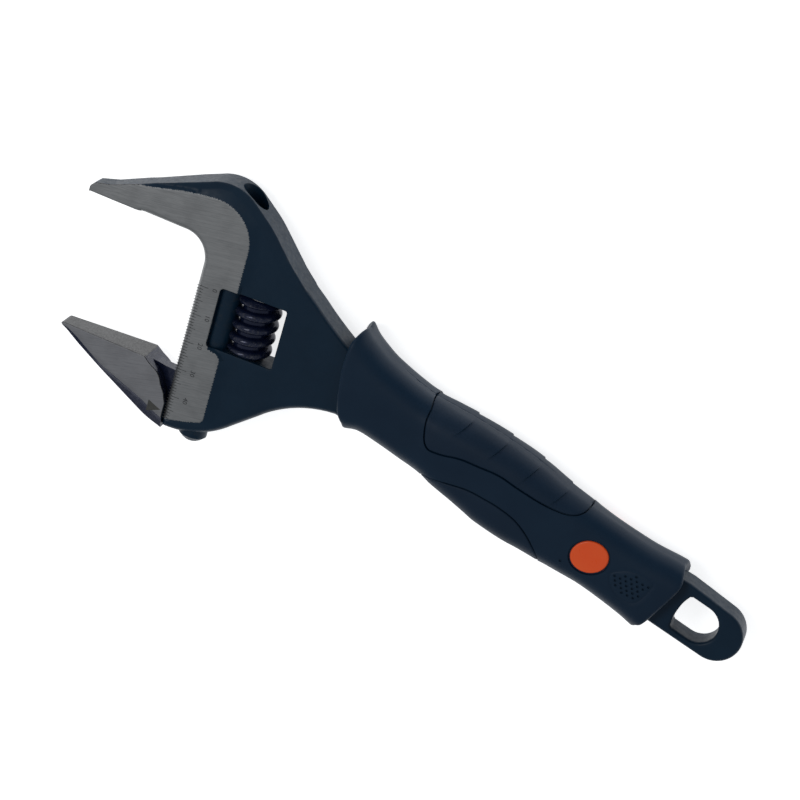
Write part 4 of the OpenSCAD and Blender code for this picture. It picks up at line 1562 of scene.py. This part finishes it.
@dataclass
class GripForm:
    """The grip's outer surface, unrolled: x along the handle, t round its front half from below.

    Attributes:
        top: (x, y) of its upper line.
        low: (x, y) of its lower line.
        half: (x, half thickness).
        span: the range of t.
        r_top: radius of its upper shoulders.
        r_low: radius of its lower shoulders.
    """

    top: Sequence[Sequence[float]] = (
        (52, 21.8), (56, 20.6), (58, 19.7), (61.6, 17.4), (66.5, 15.6), (71, 14.4), (79.5, 13.25),
        (87.5, 12.8), (95, 13.4), (102, 14.05), (110, 14.5), (121, 14.6), (130, 14.05), (138, 13.05),
        (146, 12.5), (152, 12.3), (158, 12.15), (166, 12.2), (173, 12.5), (181.6, 13.6), (190, 14.1))
    low: Sequence[Sequence[float]] = (
        (52, -13.9), (67, -13.4), (73, -11.1), (81, -10.75), (89, -10.85), (97, -10.8), (102, -11.8),
        (110, -12.6), (116, -13.35), (120, -13.85), (130, -13.85), (137, -13.25), (146, -12.85), (152, -12.5),
        (159, -12.0), (167, -12.1), (175, -12.55), (180.4, -13.2), (190, -13.7))
    half: Sequence[Sequence[float]] = (
        (52, 10.5), (88, 10.5), (96, 10.82), (118, 10.85), (130, 10.6), (146, 9.6), (156, 9.0), (170, 9.2),
        (184, 9.5), (190, 9.6))
    span: float = 36.0
    r_top: float = 7.5
    r_low: float = 6.0
    side_crown: float = 0.5
    top_crown: float = 0.4

    def __post_init__(self) -> None:
        """Builds the functions of its sizes."""
        self.sizes = [table(k) for k in (self.top, self.low, self.half)]

    def runs(self, x: Points) -> tuple[Points, Points, Points, Points]:
        """The section's upper line, lower line, half thickness and the ends of its five stretches."""
        top, low, half = (f(x) for f in self.sizes)
        ru, rl = self.r_top, self.r_low
        stretches = np.stack([half - rl, rl * math.pi / 2 + 0 * x, top - ru - low - rl,
                              ru * math.pi / 2 + 0 * x, half - ru])
        return top, low, half, np.cumsum(stretches, 0)

    def surface(self, x: Points, t: Points, lift: Points | float = 0.0) -> Points:
        """Points of the surface.

        Args:
            x: places along the handle.
            t: places round the section.
            lift: height above the surface.

        Returns:
            The points.
        """
        top, low, half, ends = self.runs(x)
        ru, rl = self.r_top, self.r_low
        s = t / self.span * ends[4]
        a = np.clip((s - ends[0]) / rl, 0, math.pi / 2)
        b = np.clip((s - ends[2]) / ru, 0, math.pi / 2)
        z = np.minimum(s, half - rl) + rl * np.sin(a) - ru * (1 - np.cos(b)) - np.maximum(s - ends[3], 0)
        y = low + rl * (1 - np.cos(a)) + np.clip(s - ends[1], 0, ends[2] - ends[1]) + ru * np.sin(b)
        ny, nz = np.sin(b) - np.cos(a), np.sin(a) * np.cos(b)
        across = (2 * y - top - low) / (top - low)
        z = z - self.side_crown * across ** 2 * nz
        y = y - self.top_crown * (z / half) ** 2 * ny
        return np.stack([x, y + lift * ny, np.maximum(z + lift * nz, 0)], 1)

    def unroll(self, xy: Sequence[Sequence[float]]) -> Points:
        """Turns points (x, y) of the front face into (x, t)."""
        p = np.asarray(xy, float)
        x, y = p[:, 0], p[:, 1]
        top, low, _, ends = self.runs(x)
        ru, rl = self.r_top, self.r_low
        rise, fall = y - (top - ru), (low + rl) - y
        s = ends[1] + np.clip(y - low - rl, 0, ends[2] - ends[1])
        s = np.where(rise > 0, ends[2] + ru * np.arcsin(np.clip(rise / ru, 0, 1)), s)
        s = np.where(fall > 0, ends[1] - rl * np.arcsin(np.clip(fall / rl, 0, 1)), s)
        return np.stack([x, s / ends[4] * self.span], 1)


@dataclass
class Grip:
    """The moulded sleeve over the shank, its two soft pads and its two badges."""

    form: GripForm = field(default_factory=GripForm)
    bed: float = 0.9
    groove: float = 0.28
    rim_round: float = 1.2
    badge: tuple[float, float, float, float, float] = (156.7, 0.2, 6.35, 5.5, 40.0)
    steps_x: tuple[float, ...] = (102.5, 115.4, 127.9, 139.5)

    def front_rim(self) -> Points:
        """The head end of the sleeve, from its lower to its upper middle line."""
        face = self.form.unroll([(67.4, -11.6), (66.4, -10.5), (64.9, -8.6), (63.3, -6.0), (61.5, -2.4),
                                 (59.8, 1.8), (58.3, 5.7), (57.2, 10.2), (56.6, 13.8), (56.6, 16.6)])
        span = self.form.span
        return smooth_curve(np.vstack([[[68.3, 0], [68.0, face[0, 1] * 0.5]], face,
                                       [[57.4, face[-1, 1] * 0.4 + span * 0.6], [58.0, span]]]), 0.5)

    def rear_rim(self) -> Points:
        """The eye end of the sleeve, from its lower to its upper middle line."""
        face = self.form.unroll([(181.4, -11.6), (182.3, -10.4), (182.9, -8), (183.9, -3), (185.0, 3),
                                 (185.7, 8.6), (185.5, 10.9), (184.8, 12.4)])
        span = self.form.span
        return smooth_curve(np.vstack([[[180.6, 0], [180.8, face[0, 1] * 0.5]], face,
                                       [[184.0, face[-1, 1] * 0.5 + span * 0.5], [183.6, span]]]), 0.5)

    def upper_edge(self) -> Points:
        """The upper pad's edge, from its head end round to its eye end."""
        span = self.form.span
        face = self.form.unroll([(88.5, 11.9), (88.9, 11.1), (89.8, 7.6), (91.9, 2.9), (93.6, 0.8),
                                 (95.7, -0.1), (99.1, 0.7), (105.2, 3.3), (111.9, 4.9), (118.8, 6.3),
                                 (126, 6.3), (134, 6.5), (141.0, 7.4), (144.8, 8.6), (147.0, 10.2)])
        return smooth_curve(np.vstack([[[87.5, span], [87.9, span - 4]], face, [[148.0, span - 5.2],
                                       [148.3, span - 2.6], [148.4, span]]]), 0.5)

    def lower_edge(self) -> Points:
        """The lower pad's edge."""
        face = self.form.unroll([(97.4, -10.4), (98.4, -9.0), (103.7, -7.0), (108.4, -5.1), (113.2, -3.6),
                                 (118.6, -2.9), (124.1, -2.5), (130.2, -3.0), (135.1, -4.7), (139.3, -7.1),
                                 (142.6, -9.8), (143.6, -11.4)])
        return smooth_curve(np.vstack([[[95.6, 0], [96.4, face[0, 1] * 0.55]], face,
                                       [[144.2, face[-1, 1] * 0.55], [144.6, 0]]]), 0.5)

    def patch(self) -> Points:
        """The outline of the patch of pips."""
        knots = [(177.5, -1.9), (176.5, -4), (174.8, -4.9), (171.2, -5.2), (168.2, -4), (165.9, -2.3),
                 (165.2, -0.8), (165.5, 0.7), (169.1, 4), (173.6, 5.3), (177.8, 5.2), (178.2, 2.9),
                 (177.9, 0)]
        return self.form.unroll(smooth_curve(knots, 0.4))

    def badge_loop(self, grow: float) -> Points:
        """The badge's oval, grown by a gap."""
        x, y, a, b, turn = self.badge
        angle, t = np.linspace(0, 2 * math.pi, 56, endpoint=False), math.radians(turn)
        p, q = (a + grow) * np.cos(angle), (b + grow) * np.sin(angle)
        return self.form.unroll(np.stack([x + p * math.cos(t) - q * math.sin(t),
                                          y + p * math.sin(t) + q * math.cos(t)], 1))

    def closed(self, edge: Points, far: Points | None = None) -> Points:
        """An edge closed along the middle line it starts and ends on, or along a second edge."""
        if far is None:
            back = np.linspace(edge[-1], edge[0], int(abs(edge[-1, 0] - edge[0, 0]) / 0.8))[1:-1]
            return np.vstack([edge, back])
        upper = np.linspace(edge[-1], far[-1], 260)[1:-1]
        lower = np.linspace(far[0], edge[0], 230)[1:-1]
        return np.vstack([edge, upper, far[::-1], lower])

    def wave(self, flat: Points) -> Points:
        """Depth of the upper pad's waves."""
        x, t = flat[:, 0], flat[:, 1]
        share = np.clip((self.form.span - t) / 14.0, 0, 1.4)
        bent = x + 4.2 * share ** 2
        ends = (87.5, *self.steps_x, 152.0)
        depth = np.zeros(len(x))
        for a, b in zip(ends, ends[1:]):
            within = (bent >= a) & (bent < b)
            depth = np.where(within, (1 - (bent - a) / (b - a)) ** 1.4, depth)
        return depth * (0.08 + 1.0 * step_up(share, 0.12, 0.45)) * (1 - step_up(share, 0.55, 0.85))

    def wave_lines(self) -> list[Points]:
        """The curves on which the waves step."""
        share = np.linspace(0, 0.95, 26)
        return [np.stack([x - 4.2 * share ** 2, self.form.span - 14.0 * share], 1) for x in self.steps_x]

    def seam(self, flat: Points) -> Points:
        """Depth of the parting line along the top."""
        broken = 0.6 + 0.4 * np.sin(flat[:, 0] * 1.7) * np.sin(flat[:, 0] * 0.61)
        along = step_up(flat[:, 0], 74, 77) * (1 - step_up(flat[:, 0], 130, 134))
        return 0.16 * along * broken * np.exp(-((self.form.span - flat[:, 1]) / 0.14) ** 2)

    def sleeve(self) -> bpy.types.Object:
        """Builds the sleeve with its beds, recesses and pips."""
        form, span = self.form, self.form.span
        front, rear = self.front_rim(), self.rear_rim()
        upper, lower = self.upper_edge(), self.lower_edge()
        badge, patch = self.badge_loop(0.55), self.patch()
        loop = self.closed(front, rear)
        line = np.stack([np.linspace(74, 87, 60), np.full(60, span)], 1)
        plan = Plan([loop], (0.15, 0.45, 0.9, 1.4),
                    [(upper, (-0.35, -0.08, 0.08, 0.4), False), (lower, (-0.4, -0.08, 0.08, 0.35), False),
                     (badge, (-0.3, -0.06, 0.06, 0.3), True), (patch, (-0.3, -0.12, 0.0, 0.12, 0.3), True),
                     (line, (-0.3, -0.12), False)], 1.4)
        flat, tris, loops = plan.mesh()
        upper_loop, lower_loop = self.closed(upper), self.closed(lower)
        rims = np.minimum(distance(flat, front, False)[0], distance(flat, rear, False)[0])
        lift = -self.rim_round * quarter(rims / self.rim_round)
        for bed in (upper_loop, lower_loop):
            lift = lift - self.bed * step_up(signed(flat, bed), -0.07, 0.07)
        proud = np.minimum(distance(flat, upper, False)[0], distance(flat, lower, False)[0])
        lift = lift + 0.12 * np.exp(-(proud / 1.6) ** 2)
        lift = lift - 0.6 * step_up(signed(flat, badge), -0.05, 0.05)
        lift = lift - 0.2 * np.exp(-(distance(flat, patch)[0] / 0.16) ** 2) - self.seam(flat)
        verts = form.surface(flat[:, 0], flat[:, 1], lift)
        on_line = (flat[:, 1] < 1e-6) | (flat[:, 1] > span - 1e-6)
        verts[on_line, 2] = 0
        shell = Shell(verts, list(tris)).mirrored()
        shell = self.capped(shell, loops[0], flat, len(flat), span)
        sleeve = shell.piece("grip_sleeve_piece", finishes(Look.SHELL), 40, 4e-6)
        carve(sleeve, self.pips())
        smooth(sleeve, 40)
        return sleeve

    def capped(self, shell: Shell, loop: list[int], flat: Points, n: int, span: float) -> Shell:
        """Closes the sleeve's two ends.

        Args:
            shell: both halves of the surface.
            loop: the indices of the unrolled outline.
            flat: the unrolled points.
            n: the number of points in one half.
            span: the range of t.

        Returns:
            The shell with its ends.
        """
        rim = [i for i in loop if 1e-6 < flat[i, 1] < span - 1e-6]
        for want_front in (True, False):
            end = [i for i in rim if (flat[i, 0] < 120) == want_front]
            middle = [i for i in loop if (flat[i, 0] < 120) == want_front and i not in end]
            pick = min if want_front else max
            low = pick((i for i in middle if flat[i, 1] < 1), key=lambda i: flat[i, 0])
            top = pick((i for i in middle if flat[i, 1] > 1), key=lambda i: flat[i, 0])
            end = [low, *sorted(end, key=lambda i: flat[i, 1]), top]
            ring = end + [i + n for i in end[::-1]][1:-1]
            points = shell.verts[ring]
            centre = points.mean(0) * (1, 1, 0)
            inner = centre + (points - centre) * 0.55
            base = len(shell.verts)
            m = len(ring)
            shell.verts = np.vstack([shell.verts, inner, centre])
            for i in range(m):
                k = (i + 1) % m
                shell.faces.append((ring[i], ring[k], base + k, base + i))
                shell.faces.append((base + i, base + k, base + m))
        shell.edge, shell.slots = None, []
        return shell

    def pips(self) -> bpy.types.Object:
        """Repeats one small pit over the patch and at the gate, on both faces, as a tool."""
        form = self.form
        patch = self.patch()
        spots = []
        for row in range(8):
            for col in range(9):
                x = 164.6 + col * 1.95 + (row % 2) * 0.975
                y = -4.9 + row * 1.45 + 0.18 * (x - 171)
                spot = form.unroll([(x, y)])
                if signed(spot, patch)[0] > 0.95:
                    spots.append(spot[0])
        spots.append(form.unroll([(149.8, -6.4)])[0])
        spots = np.array(spots)
        top = form.surface(spots[:, 0], spots[:, 1])
        seats = np.vstack([top, top * (1, 1, -1)])
        seed = bpy.data.meshes.new("pip_seats")
        seed.from_pydata(LAYOUT.row(seats).tolist(), [], [])
        holder = placed("pip_tool", seed)
        tree = NodeTree("pips", {
            "Radius": ("NodeSocketFloat", 0.46 * MM),
            "Depth": ("NodeSocketFloat", 0.9 * MM),
            "Finish": ("NodeSocketMaterial", Look.SHELL.material())}, takes_mesh=True)
        g = tree.entry.outputs
        pit = tree.add("GeometryNodeMeshCylinder", {"Vertices": 10, "Radius": g["Radius"],
                                                    "Depth": g["Depth"]})
        points = tree.add("GeometryNodeMeshToPoints", {0: g["Geometry"]})
        pits = tree.add("GeometryNodeInstanceOnPoints", {"Points": points.outputs[0],
                                                         "Instance": pit.outputs[0]})
        tree.finish(pits.outputs[0])
        return tree.grow(holder)

    def pad(self, name: str, edge: Points, waves: bool) -> bpy.types.Object:
        """Builds one soft pad in its bed.

        Args:
            name: the piece's name.
            edge: the bed's edge.
            waves: whether the pad has waves.

        Returns:
            The pad.
        """
        form, span = self.form, self.form.span
        bed = self.closed(edge)
        inner = beside(edge, self.groove, False)
        if signed(inner[len(inner) // 2:len(inner) // 2 + 1], bed)[0] < 0:
            inner = beside(edge, -self.groove, False)
        line_t = span if edge[0, 1] > span / 2 else 0.0
        inner[0, 1] = inner[-1, 1] = line_t
        loop = self.closed(inner)
        creases = [(p, (-0.5, -0.1, 0.1, 0.6), False) for p in self.wave_lines()] if waves else []
        if waves:
            seam = np.stack([np.linspace(89, 146, 120), np.full(120, span)], 1)
            creases.append((seam, (-0.3, -0.12), False))
        plan = Plan([loop], (0.12, 0.3, 0.6), creases, 1.3)
        flat, tris, loops = plan.mesh()
        gap = distance(flat, inner, False)[0]
        lift = 0.1 - 0.45 * quarter(gap / 0.5)
        if waves:
            lift = lift - 0.5 * self.wave(flat) - self.seam(flat)
        n = len(flat)
        on_line = np.abs(flat[:, 1] - line_t) < 1e-6
        front = form.surface(flat[:, 0], flat[:, 1], lift)
        back = form.surface(flat[:, 0], flat[:, 1], -self.bed - 0.02)
        front[on_line, 2] = back[on_line, 2] = 0
        ring = loops[0]
        rim = [(a, b) for a, b in zip(ring, ring[1:] + ring[:1]) if not (on_line[a] and on_line[b])]
        faces = slab_faces(tris, n, rim)
        return Shell(np.vstack([front, back]), faces).mirrored().piece(name, finishes(Look.SOFT), 42, 4e-6)

    def badge_piece(self, name: str, side: int) -> bpy.types.Object:
        """Builds the domed oval badge of one face."""
        plan = Plan([self.badge_loop(-0.02)], (0.15, 0.35, 0.6, 1.0), [], 1.1)
        flat, tris, loops = plan.mesh()
        gap = plan.edge_distance(flat)[0]
        lift = -0.02 - 0.42 * quarter(gap / 0.6) + 0.14 * np.clip(gap / 5.5, 0, 1)
        n = len(flat)
        front = self.form.surface(flat[:, 0], flat[:, 1], lift)
        back = self.form.surface(flat[:, 0], flat[:, 1], -0.62)
        ring = loops[0]
        faces = slab_faces(tris, n, list(zip(ring, ring[1:] + ring[:1])))
        verts = np.vstack([front, back]) * (1, 1, side)
        return Shell(verts, faces).piece(name, finishes(Look.BADGE), 50)


# ---------------------------------------------------------------- studio


@dataclass
class Studio:
    """Floor, light and camera."""

    lens: float = 118.6685
    sensor: float = 36.0
    eye: tuple[float, float, float] = (0.0394874, 0.362019, 0.7780185)
    right: tuple[float, float, float] = (0.8221391052, 0.4978660753, -0.2760736546)
    up: tuple[float, float, float] = (-0.5667013161, 0.7618958981, -0.3136307682)
    back: tuple[float, float, float] = (0.0541932653, 0.4142994225, 0.9085257721)
    floor: float = 6.0
    glow: float = 0.78
    key_place: tuple[float, float, float] = (-0.55, 0.15, 0.95)
    key_size: tuple[float, float] = (0.5, 0.35)
    key_power: float = 2.5
    sky: tuple[float, float, float] = (0.92, 0.96, 1.0)
    sky_fade: tuple[float, float, float, float] = (0.45, 0.9, 0.39, 0.06)

    def build_floor(self) -> None:
        """Lays the pale floor."""
        mesh = bpy.data.meshes.new("floor")
        r = self.floor
        mesh.from_pydata([(-r, -r, 0), (r, -r, 0), (r, r, 0), (-r, r, 0)], [], [(0, 1, 2, 3)])
        s = Shader("pale_floor")
        s.link(s.mix(s.spread(s.noise(3, 2), 0, 1), (0.86, 0.865, 0.87), (0.88, 0.88, 0.885)),
               s.bsdf.inputs["Base Color"])
        s.set(Roughness=0.7, Emission_Color=(1, 1, 1, 1), Emission_Strength=self.glow)
        mesh.materials.append(s.material)
        placed("floor", mesh)

    def build_light(self) -> None:
        """Hangs one large soft light under a dim sky that fades towards the fixed jaw's side."""
        light = bpy.data.lights.new("key", "AREA")
        light.shape, light.energy = "RECTANGLE", self.key_power
        light.size, light.size_y = self.key_size
        key = placed("key", light)
        key.location = self.key_place
        key.rotation_euler = Vector(self.key_place).to_track_quat("Z", "Y").to_euler()
        world = bpy.data.worlds.new("studio")
        world.use_nodes = True
        tree = world.node_tree
        sky = tree.nodes["Background"]
        sky.inputs["Color"].default_value = (*self.sky, 1)
        split = tree.nodes.new("ShaderNodeSeparateXYZ")
        fade = tree.nodes.new("ShaderNodeMapRange")
        for i, v in enumerate(self.sky_fade, 1):
            fade.inputs[i].default_value = v
        tree.links.new(tree.nodes.new("ShaderNodeTexCoord").outputs["Generated"], split.inputs[0])
        tree.links.new(split.outputs["Y"], fade.inputs[0])
        tree.links.new(fade.outputs[0], sky.inputs["Strength"])
        bpy.context.scene.world = world

    def build_camera(self) -> None:
        """Sets the camera and the way colours are shown."""
        data = bpy.data.cameras.new("camera")
        data.lens, data.sensor_width, data.clip_start = self.lens, self.sensor, 0.01
        camera = placed("camera", data)
        axes = Matrix((self.right, self.up, self.back)).transposed()
        camera.matrix_world = Matrix.Translation(self.eye) @ axes.to_4x4()
        bpy.context.scene.camera = camera
        bpy.context.scene.view_settings.view_transform = "Standard"


# ---------------------------------------------------------------- assembly


def take(piece: bpy.types.Object, nodes: Sequence[str], body: str) -> bpy.types.Object:
    """Puts a piece in its place on the model.

    Args:
        piece: the piece.
        nodes: the frame's nodes that it stands for.
        body: the body it rides on.

    Returns:
        The piece.
    """
    if nodes:
        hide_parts(*nodes)
    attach(piece, body)
    piece.data.calc_loop_triangles()
    log.info("%s: %d triangles on %s", piece.name, len(piece.data.loop_triangles), body)
    return piece


def main() -> None:
    """Builds the wrench and its studio."""
    logging.basicConfig(level=logging.INFO, format="%(message)s")
    jaw, worm, grip, scale = MovableJaw(), Worm(), Grip(), ScaleMarks()
    take(Forging().build(), ["body"], "body")
    take(scale.ticks(), [], "body")
    take(scale.numbers(), [], "body")
    take(jaw.build(worm), ["movable_jaw"], "jaw")
    take(jaw.pointer(), [], "jaw")
    take(worm.build(jaw), ["worm"], "worm")
    take(Pin().build(), ["worm_pin"], "body")
    take(Spring().build(), ["worm_spring"], "body")
    take(grip.sleeve(), ["grip_sleeve"], "body")
    take(grip.pad("upper_pad_piece", grip.upper_edge(), True), ["upper_pad"], "body")
    take(grip.pad("lower_pad_piece", grip.lower_edge(), False), ["lower_pad"], "body")
    take(grip.badge_piece("front_badge_piece", 1), ["front_badge"], "body")
    take(grip.badge_piece("back_badge_piece", -1), ["back_badge"], "body")
    studio = Studio()
    studio.build_floor()
    studio.build_light()
    studio.build_camera()


if __name__ == "__main__":
    main()
